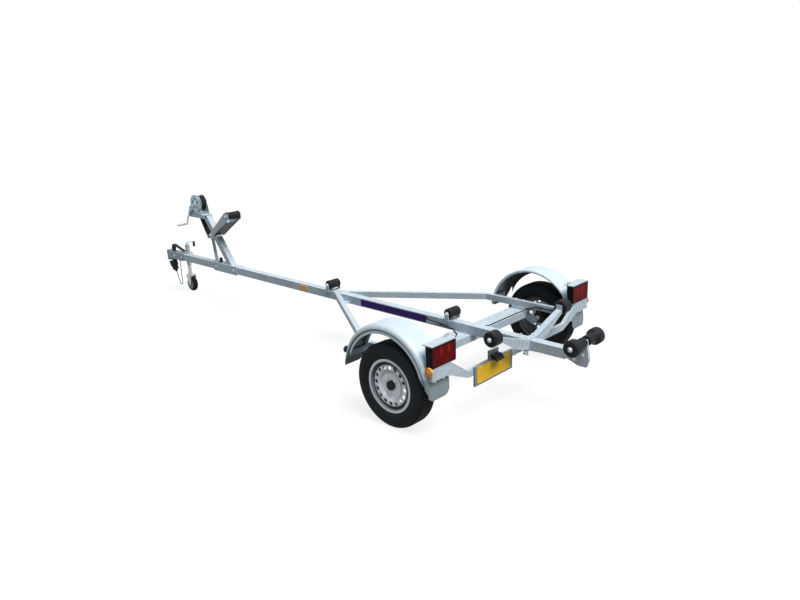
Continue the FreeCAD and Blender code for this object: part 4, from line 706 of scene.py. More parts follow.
# %% A node group that repeats a piece on points
def repeat_group():
    group = bpy.data.node_groups.new("repeat_on_points", "GeometryNodeTree")
    for name, kind, way_in in (("Points", "Geometry", "INPUT"), ("Source", "Object", "INPUT"),
                               ("Finish", "Material", "INPUT"), ("Seed", "Int", "INPUT"),
                               ("Spin", "Float", "INPUT"), ("Geometry", "Geometry", "OUTPUT")):
        group.interface.new_socket(name, in_out=way_in, socket_type="NodeSocket" + kind)

    def add(kind, values=(), **settings):
        made = group.nodes.new(kind)
        for key, value in settings.items():
            setattr(made, key, value)
        for key, value in values:
            made.inputs[key].default_value = value
        return made

    def attribute(name, kind):
        return add("GeometryNodeInputNamedAttribute", [("Name", name)], data_type=kind)

    start, end = add("NodeGroupInput"), add("NodeGroupOutput")
    way, size = attribute("way", "FLOAT_VECTOR"), attribute("size", "FLOAT")
    align = add("FunctionNodeAlignRotationToVector", axis="Z")
    spin = add("FunctionNodeRandomValue", data_type="FLOAT")
    axis_turn = add("FunctionNodeAxisAngleToRotation", [("Axis", (0, 0, 1))])
    turn = add("FunctionNodeRotateRotation", rotation_space="LOCAL")
    source = add("GeometryNodeObjectInfo")
    copies = add("GeometryNodeInstanceOnPoints")
    plain, finish = add("GeometryNodeRealizeInstances"), add("GeometryNodeSetMaterial")
    for giver, output, taker, slot in (
        (start, "Points", copies, "Points"), (start, "Source", source, "Object"),
        (source, "Geometry", copies, "Instance"), (way, "Attribute", align, "Vector"),
        (start, "Seed", spin, "Seed"), (start, "Spin", spin, 3),
        (spin, 1, axis_turn, "Angle"), (align, "Rotation", turn, "Rotation"),
        (axis_turn, "Rotation", turn, "Rotate By"), (turn, "Rotation", copies, "Rotation"),
        (size, "Attribute", copies, "Scale"), (copies, "Instances", plain, "Geometry"),
        (plain, "Geometry", finish, "Geometry"), (start, "Finish", finish, "Material"),
        (finish, "Geometry", end, "Geometry"),
    ):
        group.links.new(giver.outputs[output], taker.inputs[slot])
    return group


REPEAT = repeat_group()
INPUT_NAMES = {item.name: item.identifier for item in REPEAT.interface.items_tree
               if item.in_out == "INPUT"}
print("inputs of the repeat", sorted(INPUT_NAMES))


def repeated(name, source, spots, body, material=None, seed=1, spin=2 * math.pi):
    """Copies of a source mesh at spots of (place, direction, size), as one piece."""
    places, ways, sizes = zip(*spots)
    points = bpy.data.meshes.new(name)
    points.from_pydata([tuple(place) for place in places], [], [])
    points.attributes.new("way", "FLOAT_VECTOR", "POINT")
    points.attributes.new("size", "FLOAT", "POINT")
    points.attributes["way"].data.foreach_set("vector", [part for way in ways for part in way])
    points.attributes["size"].data.foreach_set("value", sizes)
    holder = bpy.data.objects.new(name, points)
    original = bpy.data.objects.new(name + "_source", source)
    for item in (holder, original):
        bpy.context.collection.objects.link(item)
    nodes = holder.modifiers.new("repeat", "NODES")
    nodes.node_group = REPEAT
    inputs = {"Source": original, "Finish": material or source.materials[0], "Seed": seed,
              "Spin": spin}
    for key, value in inputs.items():
        nodes[INPUT_NAMES[key]] = value
    settle(holder)
    bpy.data.objects.remove(original)
    for other in [item for item in holder.data.attributes if item.name in ("way", "size")]:
        holder.data.attributes.remove(other)
    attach(holder, body)
    print(name, len(spots), "copies", len(holder.data.polygons), "faces")
    return holder

# %% [markdown]
# ## Seating
# A bolt that floats a millimetre off its plate looks wrong at once. Its place
# could be copied from the drawing, but a ray cast at the solid that carries it
# is surer: the first hit gives the spot, and the face turns the bolt.

# %% A seat on a solid
bpy.context.view_layer.update()
LEFTWARD, RIGHTWARD = Vector((0, 1, 0)), Vector((0, -1, 0))
UPWARD, DOWNWARD = Vector((0, 0, 1)), Vector((0, 0, -1))
AHEAD, REARWARD = Vector((1, 0, 0)), Vector((-1, 0, 0))
SINK = 0.0003


def seat(node, start, way):
    """The spot and the outward direction where a ray first meets a solid."""
    hit, place, normal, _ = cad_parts[node].ray_cast(Vector(start), Vector(way).normalized())
    if not hit:
        raise ValueError(f"no {node} from {start} along {way}")
    return place - normal * SINK, normal


def spots_on(node, starts, way, size=1.0):
    """Spots for repeated(), one for each start of a ray."""
    return [(*seat(node, start, way), size) for start in starts]


def both_sides(points):
    """Points and their mirror images across the trailer's middle."""
    return points + [(x, -y, z) for x, y, z in points]


bow_stop_seat = seat("bow_stop_arm", (1.598, 0.3, 0.745), RIGHTWARD)[0]
print("bow stop plate at", [round(value, 4) for value in bow_stop_seat])

# %% [markdown]
# ## Fasteners
# Bolts, nuts and washers are zinc plated. One of each is turned on the lathe,
# a hexagon being a lathe with six steps, and Geometry Nodes puts the copies
# where the real trailer is bolted together.

# %% One bolt, one nut and one cap
def turned_disc(radius, height, base=0.0, steps=24, edge_share=0.25, material=BRIGHT):
    """A flat disc with its upper edge broken."""
    edge = min(height, radius) * edge_share
    top = base + height
    outline = [(0, base), (radius, base), (radius, top - edge), (radius - edge, top), (0, top)]
    return lathe("disc", outline, material, steps, smooth=False)


def hexagon(across_flats, height, base):
    reach, top = across_flats / 2 / math.cos(math.radians(30)), base + height
    outline = [(0, base), (reach, base), (reach, top - height * 0.2), (reach * 0.87, top), (0, top)]
    return lathe("hexagon", outline, BRIGHT, 6, smooth=False)


def domed(radius, height, brim=0.0, material=BRIGHT, rise_steps=6):
    """A round cap with a flat brim and a dome on it."""
    outline = [(0, 0)]
    if brim:
        outline += [(radius + brim, 0), (radius + brim, height * 0.2), (radius, height * 0.24)]
    else:
        outline += [(radius, 0)]
    start = height * 0.3
    for step in range(rise_steps + 1):
        angle = math.pi / 2 * step / rise_steps
        outline.append((radius * math.cos(angle), start + (height - start) * math.sin(angle)))
    return lathe("cap", outline, material, 28)


WASHER = turned_disc(0.0105, 0.002)
BOLT = merged("bolt", [WASHER, hexagon(0.017, 0.0064, 0.0019)])
NUT = merged("nut", [WASHER, hexagon(0.017, 0.008, 0.0019), turned_disc(0.005, 0.005, 0.0095)])
ROUND_HEAD = domed(0.0095, 0.0045)
PIN_CAP = domed(0.0105, 0.0105, 0.0035)
print("faces", [len(mesh.polygons) for mesh in (BOLT, NUT, ROUND_HEAD, PIN_CAP)])

# %% Bolts through the post, bow stop, winch, coupling and cross member
TUBE_MID = (SPINE_LOW + SPINE_TOP) / 2
WINCH_X, WINCH_Z = middle("winch_drum", 0), 1.043
CLEAR_Y = 0.3
WINCH_FEET = [(1.815, 0.948), (1.986, 0.948)]
HOLES = {
    "post_foot": ([(1.300, TUBE_MID), (1.610, TUBE_MID)], 1.15),
    "bow_stop_arm": ([(1.598, 0.745), (1.292, 0.964)], 1.25),
    "coupling": ([(2.290, TUBE_MID), (2.430, TUBE_MID)], 1.15),
    "winch_frame": (WINCH_FEET, 0.8),
    "keel_bracket_rear": ([(-2.56, 0.43), (-2.50, 0.385)], 1.1),
}


def through(node, sign):
    """Spots at a solid's cross holes: its left face for sign 1, its right for -1."""
    holes, size = HOLES[node]
    return spots_on(node, [(x, sign * CLEAR_Y, z) for x, z in holes], RIGHTWARD * sign, size)


cross_starts = both_sides([(x, y, 0.6) for y in (0.056, 0.60) for x in (-1.640, -1.545)])
bolt_spots = through("post_foot", 1) + through("bow_stop_arm", 1) + through("coupling", 1)
bolt_spots += spots_on("cross_member", cross_starts, DOWNWARD, 1.1)
bolt_spots += spots_on("winch_base", both_sides([(1.795, 0.022, 1.2)]), DOWNWARD)
for side, sign in SIDES:
    rail_starts = [(x, sign * 0.720, 0.7) for x in (-1.628, -1.558)]
    bolt_spots += spots_on(f"side_rail_{side}", rail_starts, DOWNWARD)
bolt_spots += through("winch_frame", 1) + through("keel_bracket_rear", 1)
repeated("frame_bolts", BOLT, bolt_spots, "frame", seed=3)

# %% Nuts on the far side of those bolts and under the clamps
CLAMP_X, NUT_SIZE = (-2.162, -2.139), 0.95
nut_spots = [spot for node in ("post_foot", "bow_stop_arm", "coupling", "winch_frame")
             for spot in through(node, -1)]
for node, start_z, way in (("roller_clamp", 0.2, UPWARD), ("roller_arms", 0.7, DOWNWARD)):
    clamp_starts = both_sides([(x, 0.046, start_z) for x in CLAMP_X])
    nut_spots += spots_on(node, clamp_starts, way, NUT_SIZE)
nut_spots += spots_on("light_beam", both_sides([(-2.0565, 0.0405, 0.2)]), UPWARD, NUT_SIZE)
nut_spots += through("keel_bracket_rear", -1)
repeated("frame_nuts", NUT, nut_spots, "frame", seed=5)

# %% Round heads that hold the fenders, and caps on the roller pins
KEEL_PINS = [(-0.144, 0.070, 0.505, 1.0), (-1.472, 0.070, 0.505, 1.0)]
OUTER_PINS = [(-2.1505, 0.4732, 0.570, 1.15), (-2.560, 0.1815, 0.514, 1.25)]


def pin_end(pin, sign):
    x, y, z, size = pin
    return Vector((x, sign * y, z)), LEFTWARD * sign, size


head_spots = []
for side, sign in SIDES:
    for x, z, way in ((-1.0, 0.412, REARWARD), (-2.5, 0.395, AHEAD)):
        starts = [(x, sign * y, z) for y in (0.800, 0.885)]
        head_spots += spots_on(f"fender_{side}", starts, way, 0.95)
repeated("fender_bolts", ROUND_HEAD, head_spots, "frame")
cap_spots = [pin_end(pin, sign) for pin in KEEL_PINS for sign in (1, -1)]
cap_spots += [pin_end(pin, sign) for sign in (1, -1) for pin in OUTER_PINS]
repeated("pin_caps", PIN_CAP, cap_spots, "frame")

# %% [markdown]
# ## U-bolt
# The light beam hangs from the draw tube in a U-bolt, a rod bent twice. It could
# be swept with mesh code, but a curve with a round bevel follows the bends by
# itself. It is made a plain mesh at once.

# %% Bent rods
U_BOLT_X, U_LEG, U_FOOT, U_TOP, U_ROUND = -2.0565, 0.0405, 0.322, SPINE_TOP + 0.0045, 0.010


def bent_rod(name, points, radius, bend=None):
    """A round bright rod through points, as one closed mesh."""
    line = bpy.data.curves.new(name, "CURVE")
    line.dimensions, line.bevel_depth, line.bevel_resolution = "3D", radius, 3
    line.use_fill_caps = True
    path = line.splines.new("NURBS" if bend else "POLY")
    path.points.add(len(points) - 1)
    for point, place in zip(path.points, points):
        point.co = (*place, 1.0)
    if bend:
        path.order_u, path.use_endpoint_u, path.resolution_u = 3, True, bend
    holder = bpy.data.objects.new(name, line)
    bpy.context.collection.objects.link(holder)
    graph = bpy.context.evaluated_depsgraph_get()
    mesh = bpy.data.meshes.new_from_object(holder.evaluated_get(graph))
    bpy.data.objects.remove(holder)
    closed(mesh)
    mesh.materials.clear()
    mesh.materials.append(BRIGHT)
    return mesh


bow = [(-U_LEG, U_FOOT), (-U_LEG, U_TOP - U_ROUND), (-U_LEG, U_TOP), (-U_LEG + U_ROUND, U_TOP)]
bow += [(-y, z) for y, z in reversed(bow)]
u_bolt = bent_rod("u_bolt", [(U_BOLT_X, y, z) for y, z in bow], 0.004, bend=6)
piece("light_beam_u_bolts", u_bolt, "frame")
print("u-bolt faces", len(u_bolt.polygons))

# %% [markdown]
# ## Road tyres
# The plain solid is replaced by a turned carcass with round shoulders and fine
# rings on the wall. A tread could be carved with Boolean cuts, but raised
# blocks are lighter: one row across is drawn, and Geometry Nodes set it on the
# points of a circle.

# %% Carcass and one row of tread blocks
TREAD_BASE, ROWS_ROUND, BLOCK_HALF = 0.2800, 66, 0.0112
WALL = [(0.1690, 0.0490), (0.1815, 0.0570), (0.1880, 0.0615), (0.1905, 0.0650), (0.1930, 0.0660),
        (0.1960, 0.0668), (0.1975, 0.0690), (0.2000, 0.0695), (0.2060, 0.0712), (0.2150, 0.0735),
        (0.2240, 0.0748), (0.2330, 0.0752), (0.2345, 0.0759), (0.2370, 0.0759), (0.2385, 0.0750),
        (0.2460, 0.0742), (0.2540, 0.0726), (0.2555, 0.0732), (0.2585, 0.0724), (0.2600, 0.0708),
        (0.2660, 0.0684), (0.2715, 0.0650), (0.2760, 0.0605), (0.2785, 0.0560)]
BLOCKS = ((-0.007, 0.007, 0.002), (0.011, 0.0265, 0.004), (-0.0265, -0.011, 0.004))


def carcass():
    outer = WALL + [(TREAD_BASE - 0.0005, 0.050), (TREAD_BASE, 0.040), (TREAD_BASE, 0.0)]
    mirror = [(radius, -aside) for radius, aside in reversed(outer[:-1])]
    return lathe("carcass", outer + mirror, TYRE, 120, axis="y")


def block_row():
    """Five blocks across the tread, the outer two bent over the shoulder."""
    half, top = BLOCK_HALF, TYRE_R - TREAD_BASE
    blocks = []
    for low, high, slant in BLOCKS:
        corners = [(-half + slant, low), (half + slant, low), (half - slant, high),
                   (-half - slant, high)]
        blocks.append(slab("block", corners, -0.0005, top, "z", TYRE))
    shoulder = [(0.0305, top), (0.0460, top - 0.0004), (0.0545, top - 0.0026),
                (0.0590, top - 0.0066), (0.0605, top - 0.0100), (0.0305, -0.0015)]
    for sign in (1, -1):
        corners = [(sign * aside, up) for aside, up in shoulder]
        blocks.append(slab("shoulder", corners, -half, half, "x", TYRE))
    return merged("block_row", blocks)


def spots_round(centre, radius, count):
    """Spots half a step apart from the front, evenly round a circle."""
    ways = [around_axle(360 * (index + 0.5) / count) for index in range(count)]
    return [(Vector(centre) + way * radius, way, 1.0) for way in ways]


ROW, CARCASS = block_row(), carcass()
for side, sign in SIDES:
    centre, body = (AXLE_X, sign * WHEEL_Y, WHEEL_Z), f"wheel_{side}"
    tread_spots = spots_round(centre, TREAD_BASE, ROWS_ROUND)
    repeated(f"tread_{side}", ROW, tread_spots, body, spin=0.0)
    road_tyre = piece(f"road_tyre_{side}", moved(CARCASS, Matrix.Translation(centre)), body)
    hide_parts(f"tyre_{side}")
print("carcass faces", len(CARCASS.polygons), "row faces", len(ROW.polygons))

# %% [markdown]
# ## Wheels
# Four bolts hold each wheel, a rubber valve stands in the pressed ring, and the
# dust cap has the small step that it is driven on by. Their places could be
# typed, but each is a radius and an angle round the axle, and a ray finds how
# far out the disc stands there.

# %% Wheel bolts, valves and dust cap steps
BOLT_CIRCLE, VALVE_CIRCLE, VALVE_DEGREES, CAP_FACE_Y = 0.052, 0.152, 112, 0.9335
STEM = [(0, -0.002), (0.0065, -0.002), (0.0065, 0.004), (0.0042, 0.008), (0.0040, 0.022),
        (0.0048, 0.0225), (0.0048, 0.033), (0.0036, 0.0345), (0, 0.0345)]


def on_rim(side, sign, radius, degrees):
    """The spot on a wheel's disc at a radius and an angle, met from outside."""
    start = Vector((AXLE_X, sign * 1.2, WHEEL_Z)) + around_axle(degrees) * radius
    return seat(f"rim_{side}", start, RIGHTWARD * sign)


valve = lathe("valve", STEM, BLACK, 20)
cap_step = merged("step", [turned_disc(0.0175, 0.0022, 0.0, 32, 0.4, BLACK),
                           turned_disc(0.009, 0.0016, 0.002, 24, 0.4, BLACK)])
for side, sign in SIDES:
    outward, body = LEFTWARD * sign, f"wheel_{side}"
    spots = [(*on_rim(side, sign, BOLT_CIRCLE, 45 + 90 * index), 1.0) for index in range(4)]
    repeated(f"wheel_bolts_{side}", BOLT, spots, body, BRIGHT, seed=8)
    cap_place = (AXLE_X, sign * CAP_FACE_Y, WHEEL_Z)
    piece(f"dust_cap_step_{side}", placed(cap_step, cap_place, outward), body)
    valve_place = on_rim(side, sign, VALVE_CIRCLE, VALVE_DEGREES)[0]
    piece(f"valve_{side}", placed(valve, valve_place, outward), body)
print("wheel bolts on a circle of", BOLT_CIRCLE * 2)

# %% [markdown]
# ## Lights
# Each lamp has a black bezel, a deep red lens with two reflex panels and two
# screws. The small amber discs on the sides and the clear ones on the front
# posts are moulded in steps, as reflectors are. A bevelled box could stand for
# each, but rims and turned discs keep the edges crisp with few faces.

# %% Bezels, reflex panels and screws of the rear lamps
LENS_FACE = span("light_lenses", 0)[LOW]
LENS_Y, LENS_Z = (0.716, 0.936), (0.503, 0.632)
PANEL_Y, PANEL_HALF, PANEL_Z = (0.855, 0.782), 0.011, (0.566, 0.618)
SCREW_Y, SCREW_Z = (0.7285, 0.8985), 0.5675


def to_side(low_y, high_y, sign):
    """Low and high of a stretch across, for the left side or its mirror image."""
    return (low_y, high_y) if sign > 0 else (-high_y, -low_y)


bezels, panels, screws = [], [], []
for sign in (1, -1):
    bezels.append(rim("bezel", to_side(*LENS_Y, sign), LENS_Z, (-0.002, 0.006), (0.0045, 0.004),
                      LENS_FACE - 0.0022, LENS_FACE + 0.010, "x", DARK_SHELL))
    for centre in PANEL_Y:
        low, high = to_side(centre - PANEL_HALF, centre + PANEL_HALF, sign)
        corners = rounded((low, PANEL_Z[LOW]), (high, PANEL_Z[HIGH]), 0.007)
        panels.append(slab("panel", corners, LENS_FACE - 0.0012, LENS_FACE + 0.002, "x", DEEP_RED))
    screws += [(Vector((LENS_FACE - 0.0006, sign * y, SCREW_Z)), REARWARD, 0.42) for y in SCREW_Y]
piece("light_bezels", merged("light_bezels", bezels), "frame")
piece("light_reflex_panels", merged("light_reflex_panels", panels), "frame")
repeated("lens_screws", ROUND_HEAD, screws, "frame", BLACK)
print("lens panels", len(panels))

# %% Stepped discs on the markers and front posts
STEPPED = [(0, 0), (0.0245, 0), (0.0245, 0.0010), (0.0205, 0.0014), (0.0205, 0.0022),
           (0.0150, 0.0024), (0.0150, 0.0032), (0.0080, 0.0034), (0.0080, 0.0040), (0, 0.0042)]
marker_spots, front_spots = [], []
for sign in (1, -1):
    marker_spots.append((Vector((-2.048, sign * 0.9517, 0.477)), LEFTWARD * sign, 1.0))
    front_spots += spots_on("front_lamps", [(-1.0, sign * 0.925, 0.447)], REARWARD, 0.80)
stepped_disc = lathe("stepped", STEPPED, AMBER, 40, smooth=False)
repeated("marker_lens_steps", stepped_disc, marker_spots, "frame")
repeated("front_lamp_lenses", stepped_disc, front_spots, "frame", CLEAR)

# %% [markdown]
# ## Fender edges
# The inboard edge of each arch is rolled over, which stiffens the sheet. A bevel
# could hint at it, but the roll follows the arch, so its section is swept round
# the arch's own centre.

# %% Folded inboard edges
FENDER_R, FOLD, FOLD_OUT, FOLD_SINK = 0.384, 0.022, 0.011, 0.0005
FOLD_FROM, FOLD_TO, FOLD_STEPS = math.radians(6.5), math.radians(174.5), 72
FENDER_EDGE_Y = span("fender_left", 1)[LOW]


def fold_section():
    """The roll's outline as (radius, offset across): a flat back and a half round."""
    section = [(FENDER_R - FOLD_SINK, 0.004), (FENDER_R - FOLD, 0.004)]
    for step in range(7):
        angle = math.radians(-90 + 30 * step)
        radius = FENDER_R - FOLD / 2 - FOLD_SINK + FOLD / 2 * math.sin(angle)
        section.append((radius, -FOLD_OUT * math.cos(angle)))
    return section


def arch_fold(sign):
    """A rolled strip along the inboard edge, from the front end to the rear."""
    section, points = fold_section(), []
    for step in range(FOLD_STEPS + 1):
        angle = FOLD_FROM + (FOLD_TO - FOLD_FROM) * step / FOLD_STEPS
        points += [(FENDER_X + radius * math.cos(angle), sign * (FENDER_EDGE_Y + offset),
                    FENDER_Z + radius * math.sin(angle)) for radius, offset in section]
    count = len(section)
    faces = swept_faces(FOLD_STEPS, count, FOLD_STEPS + 1)
    faces += [tuple(range(count)), tuple(range(FOLD_STEPS * count, (FOLD_STEPS + 1) * count))]
    # The paler zinc of the roll is a painted sheen.
    return from_faces("fold", points, faces, SHEEN_FOLD_ZINC)


piece("fender_folds", merged("fender_folds", [arch_fold(1), arch_fold(-1)]), "frame")
print("folds", FOLD)

# %% [markdown]
# ## Number plate
# A pressed edge stands up a little round the yellow plate, two screws hold it,
# and the lamp above it shines down through a clear window. The edge could be a
# bump in the paint, but a real rim catches the light from every side.

# %% Plate edge, screws and lamp window
PLATE_FACE, PLATE_Y, PLATE_Z = (span("number_plate", 0)[LOW], span("number_plate", 1),
                                span("number_plate", 2))
edge = rim("plate_edge", PLATE_Y, PLATE_Z, (0.001, 0.008), (0.0045, 0.005),
           PLATE_FACE - 0.0010, PLATE_FACE + 0.0005, "x", YELLOW)
piece("number_plate_edge", edge, "frame", bevel=0.0004)
plate_middle = middle("number_plate", 1)
screws = [(Vector((PLATE_FACE + SINK, plate_middle + reach, PLATE_Z[HIGH] - 0.014)), REARWARD, 0.62)
          for reach in (-0.14, 0.14)]
repeated("number_plate_screws", ROUND_HEAD, screws, "frame")

lamp_low = span("plate_lamp", 2)[LOW]
window = slab("window", rounded((-2.116, 0.294), (-2.090, 0.360), 0.004), lamp_low - 0.0022,
              lamp_low + 0.002, "z", CLEAR)
piece("plate_lamp_window", window, "frame", bevel=0.0008)
lamp_screws = spots_on("plate_lamp", [(-2.100, y, 0.6) for y in (0.298, 0.356)], DOWNWARD, 0.42)
repeated("plate_lamp_screws", ROUND_HEAD, lamp_screws, "frame")

# %% [markdown]
# ## Stickers
# A dark purple strip runs along both sides of the draw tube. It could be a colour
# painted on the tube, but film of its own thickness has a real edge. The orange
# side reflectors have a thin rim and two rivets.

# %% Purple strips and reflector rims
STRIP_LOW, STRIP_HIGH, FILM = (-1.239, 0.3845), (-0.522, 0.4395), 0.0006
REFLECTOR_X, REFLECTOR_Z, RIVET_X = (0.173, 0.263), (0.390, 0.434), (0.185, 0.251)
REFLECTOR_FACE = SPINE_SIDE + 0.007
strips, rims, rivets = [], [], []
for sign in (1, -1):
    low, high = to_side(SPINE_SIDE, SPINE_SIDE + FILM, sign)
    strips.append(slab("strip", rounded(STRIP_LOW, STRIP_HIGH, 0.004), low, high, "y", PURPLE))
    low, high = to_side(REFLECTOR_FACE - 0.002, REFLECTOR_FACE + 0.0012, sign)
    rims.append(rim("rim", REFLECTOR_X, REFLECTOR_Z, (0, 0.006), (0.005, 0.004), low, high, "y",
                    AMBER))
    rivets += [(Vector((x, sign * REFLECTOR_FACE, 0.412)), LEFTWARD * sign, 0.35) for x in RIVET_X]
piece("side_strips", merged("side_strips", strips), "frame")
reflector_rims = merged("side_reflector_rims", rims)
piece("side_reflector_rims", reflector_rims, "frame", bevel=0.0004)
repeated("side_reflector_rivets", ROUND_HEAD, rivets, "frame")

# %% [markdown]
# ## Winch
# The big gear is cut from plate and turned by a small one on the crank shaft.
# Teeth are the plainest case for Geometry Nodes: one tooth, many points on a
# circle. Spacers tie the two side plates, and the strap ends in a sewn loop
# with a bright ring.

# %% Gear teeth
SHAFT_X, SHAFT_Z, SHAFT_R = 1.958, 0.971, 0.0093
GEAR_LOW, GEAR_HIGH, GEAR_R, TOOTH_TALL, PINION_PROUD = 0.048, 0.057, 0.086, 0.0032, 0.001
PINION_R = math.hypot(SHAFT_X - WINCH_X, SHAFT_Z - WINCH_Z) - GEAR_R - 0.0045


def toothed(name, centre_x, centre_z, proud, radius, teeth):
    """Teeth round a wheel that lies across the trailer."""
    half = math.pi * radius / teeth * 0.55
    depth = (GEAR_HIGH - GEAR_LOW) / 2 + proud
    corners = [(-half, -0.001), (half, -0.001), (half * 0.5, TOOTH_TALL), (-half * 0.5, TOOTH_TALL)]
    tooth = slab("tooth", corners, -depth, depth, "y", WINCH_ZINC)
    spots = spots_round((centre_x, (GEAR_LOW + GEAR_HIGH) / 2, centre_z), radius, teeth)
    return repeated(name, tooth, spots, "frame", spin=0.0)


toothed("big_gear_teeth", WINCH_X, WINCH_Z, 0, GEAR_R - 0.0002, 64)
toothed("pinion_teeth", SHAFT_X, SHAFT_Z, PINION_PROUD, PINION_R, 24)

# %% Pinion, gear boss, spacers and the painted shade in the gear's windows
BOSS = [(0, 0), (0.021, 0), (0.021, 0.002), (0.0165, 0.0035), (0.0165, 0.0065), (0, 0.0065)]
RING = [(0.0690, 0), (0.0735, 0), (0.0725, 0.0014), (0.0700, 0.0014)]
PINION = [(SHAFT_R, 0), (PINION_R, 0), (PINION_R, 0.011), (SHAFT_R, 0.011)]
SPACER = [(0, 0), (0.0065, 0), (0.0065, 0.080), (0, 0.080)]


def across_trailer(mesh, x, y, z, sign=1):
    """A mesh made along its own Z, laid across the trailer."""
    return placed(mesh, (x, y, z), LEFTWARD * sign)


pinion = lathe("pinion", PINION, WINCH_ZINC, 48, smooth=False)
boss = lathe("boss", BOSS, BRIGHT, 32, smooth=False)
spacer = lathe("spacer", SPACER, BRIGHT, 20, smooth=False)
ring = lathe("ring", RING, WINCH_ZINC, 64)
parts = [across_trailer(pinion, SHAFT_X, GEAR_LOW - PINION_PROUD, SHAFT_Z),
         across_trailer(boss, WINCH_X, GEAR_HIGH, WINCH_Z)]
parts += [across_trailer(spacer, x, -0.040, z) for x, z in WINCH_FEET]
parts.append(across_trailer(ring, WINCH_X, GEAR_HIGH - 0.0002, WINCH_Z))
piece("winch_details", merged("winch_details", parts), "frame")

# Dark discs on the gear's windows: painted shade seen through them.
gear_face = Vector((WINCH_X, GEAR_HIGH - 0.0001, WINCH_Z))
window_spots = [(gear_face + around_axle(18 + 72 * index) * 0.045, LEFTWARD, 1.0)
                for index in range(5)]
window = domed(0.0135, 0.0009, material=GEAR_SHADE)
repeated("gear_windows", window, window_spots, "frame")

# %% Strap end, stitches and ring
STRAP_HALF, HOOK = 0.026, Vector((1.739, 0, 0.6985))
STITCH_COLUMNS, STITCH_STEP = (-0.019, -0.0065, 0.0065, 0.019), 0.0065
run_top = Vector((WINCH_X - 0.0715, 0, WINCH_Z - 0.019))
along = (run_top - HOOK).normalized()
outward = Vector((-along.z, 0, along.x))


def on_strap(up, aside, proud):
    """A point by the strap's run: up along it, across it, and proud of its face."""
    return HOOK + along * up + Vector((0, aside, 0)) + outward * proud


def strap_slab(low_up, high_up, low_proud, high_proud, half, material):
    corners = ((low_up, -half), (high_up, -half), (high_up, half), (low_up, half))
    points = [on_strap(u, v, w) for w in (low_proud, high_proud) for u, v in corners]
    return from_faces("strap_part", points, prism_faces(4), material)


sewn = strap_slab(0.018, 0.110, -0.0030, 0.0078, STRAP_HALF - 0.0004, WEB)
piece("strap_sewn_end", sewn, "frame", bevel=0.0012)
stitch = moved(strap_slab(0, 0.0042, 0, 0.0006, 0.0006, THREAD), Matrix.Translation(-HOOK))
spots = [(on_strap(0.028 + index * STITCH_STEP, column, proud), UPWARD, 1.0)
         for column in STITCH_COLUMNS for index in range(12) for proud in (0.0077, -0.0033)]
repeated("strap_stitches", stitch, spots, "frame", spin=0.0)
ring_line = [on_strap(up, aside, 0.0025) for up, aside in (
    (0.012, -0.022), (0.030, -STRAP_HALF), (0.030, STRAP_HALF), (0.012, 0.022), (0.0045, 0.0))]
ring = bent_rod("ring", ring_line + [ring_line[0]], 0.0036)
piece("strap_ring", ring, "frame")
print("strap run direction", [round(value, 3) for value in along])

# %% [markdown]
# ## Grips, jack details and small covers
# The cranks turn inside loose plastic sleeves, the jack is clamped by a screw
# with a cross bar, and plugs close the open ends of the side rails. Nearly all
# of these are turned on a lathe when they are made, so the same tool draws them.

# %% Crank sleeves and the jack's clamp screw
JACK_X, JACK_Y = 2.362, middle("jack_leg", 1)
SCREW = [(0, 0), (0.0125, 0), (0.0125, 0.009), (0.0055, 0.0095), (0.0055, 0.030), (0.008, 0.0305),
         (0.008, 0.044), (0, 0.044)]


def sleeve(radius, length, grooves=5, edge=0.002, depth=0.0007):
    """A plastic sleeve with shallow grooves for the fingers."""
    outline = [(0, 0), (radius - edge, 0), (radius, edge)]
    for index in range(1, grooves + 1):
        mid = length * index / (grooves + 1)
        outline += [(radius, mid - edge), (radius - depth, mid), (radius, mid + edge)]
    outline += [(radius, length - edge), (radius - edge, length), (0, length)]
    return lathe("sleeve", outline, BLACK, 28, smooth=False)


crank_grip = moved(sleeve(0.0132, 0.058), Matrix.Translation((JACK_X, JACK_Y - 0.085, 0.4885)))
piece("jack_crank_sleeve", crank_grip, "frame")

screw_place, _ = seat("jack_tube", (JACK_X, -0.4, 0.412), LEFTWARD)
bar_y = screw_place.y - 0.037
clamp = [across_trailer(lathe("screw", SCREW, BRIGHT, 20, smooth=False), *screw_place, sign=-1)]
bar_ends = [(JACK_X - 0.034, bar_y, 0.398), (JACK_X + 0.034, bar_y, 0.426)]
clamp.append(bent_rod("bar", bar_ends, 0.004))
for sign, end_z in ((1, 0.4252), (-1, 0.3988)):
    clamp.append(placed(domed(0.0062, 0.009), (JACK_X + sign * 0.032, bar_y, end_z),
                        (sign * 0.92, 0, sign * 0.38)))
piece("jack_clamp_screw", merged("jack_clamp_screw", clamp), "frame")
print("clamp screw at", [round(value, 4) for value in screw_place])

# %% Jockey wheel hub discs and its pin's ends
HUB_DISC = [(0.0088, 0), (0.056, 0), (0.056, 0.0010), (0.050, 0.0022), (0.046, 0.0008),
            (0.024, 0.0008), (0.020, 0.0030), (0.0088, 0.0030)]
wheel_x, wheel_z = middle("jack_wheel", 0), middle("jack_wheel", 2)
hub_disc = lathe("hub_disc", HUB_DISC, HOLDER, 48, smooth=False)
discs, pin_spots = [], []
for sign, end in ((1, HIGH), (-1, LOW)):
    discs.append(across_trailer(hub_disc, wheel_x, span("jack_wheel", 1)[end], wheel_z, sign))
    pin_spots += spots_on("jack_fork", [(wheel_x, sign * CLEAR_Y, wheel_z)], RIGHTWARD * sign, 0.85)
piece("jockey_hub_discs", merged("jockey_hub_discs", discs), "jockey_wheel")
repeated("jockey_pin_nuts", BOLT, pin_spots, "jockey_fork", seed=2)

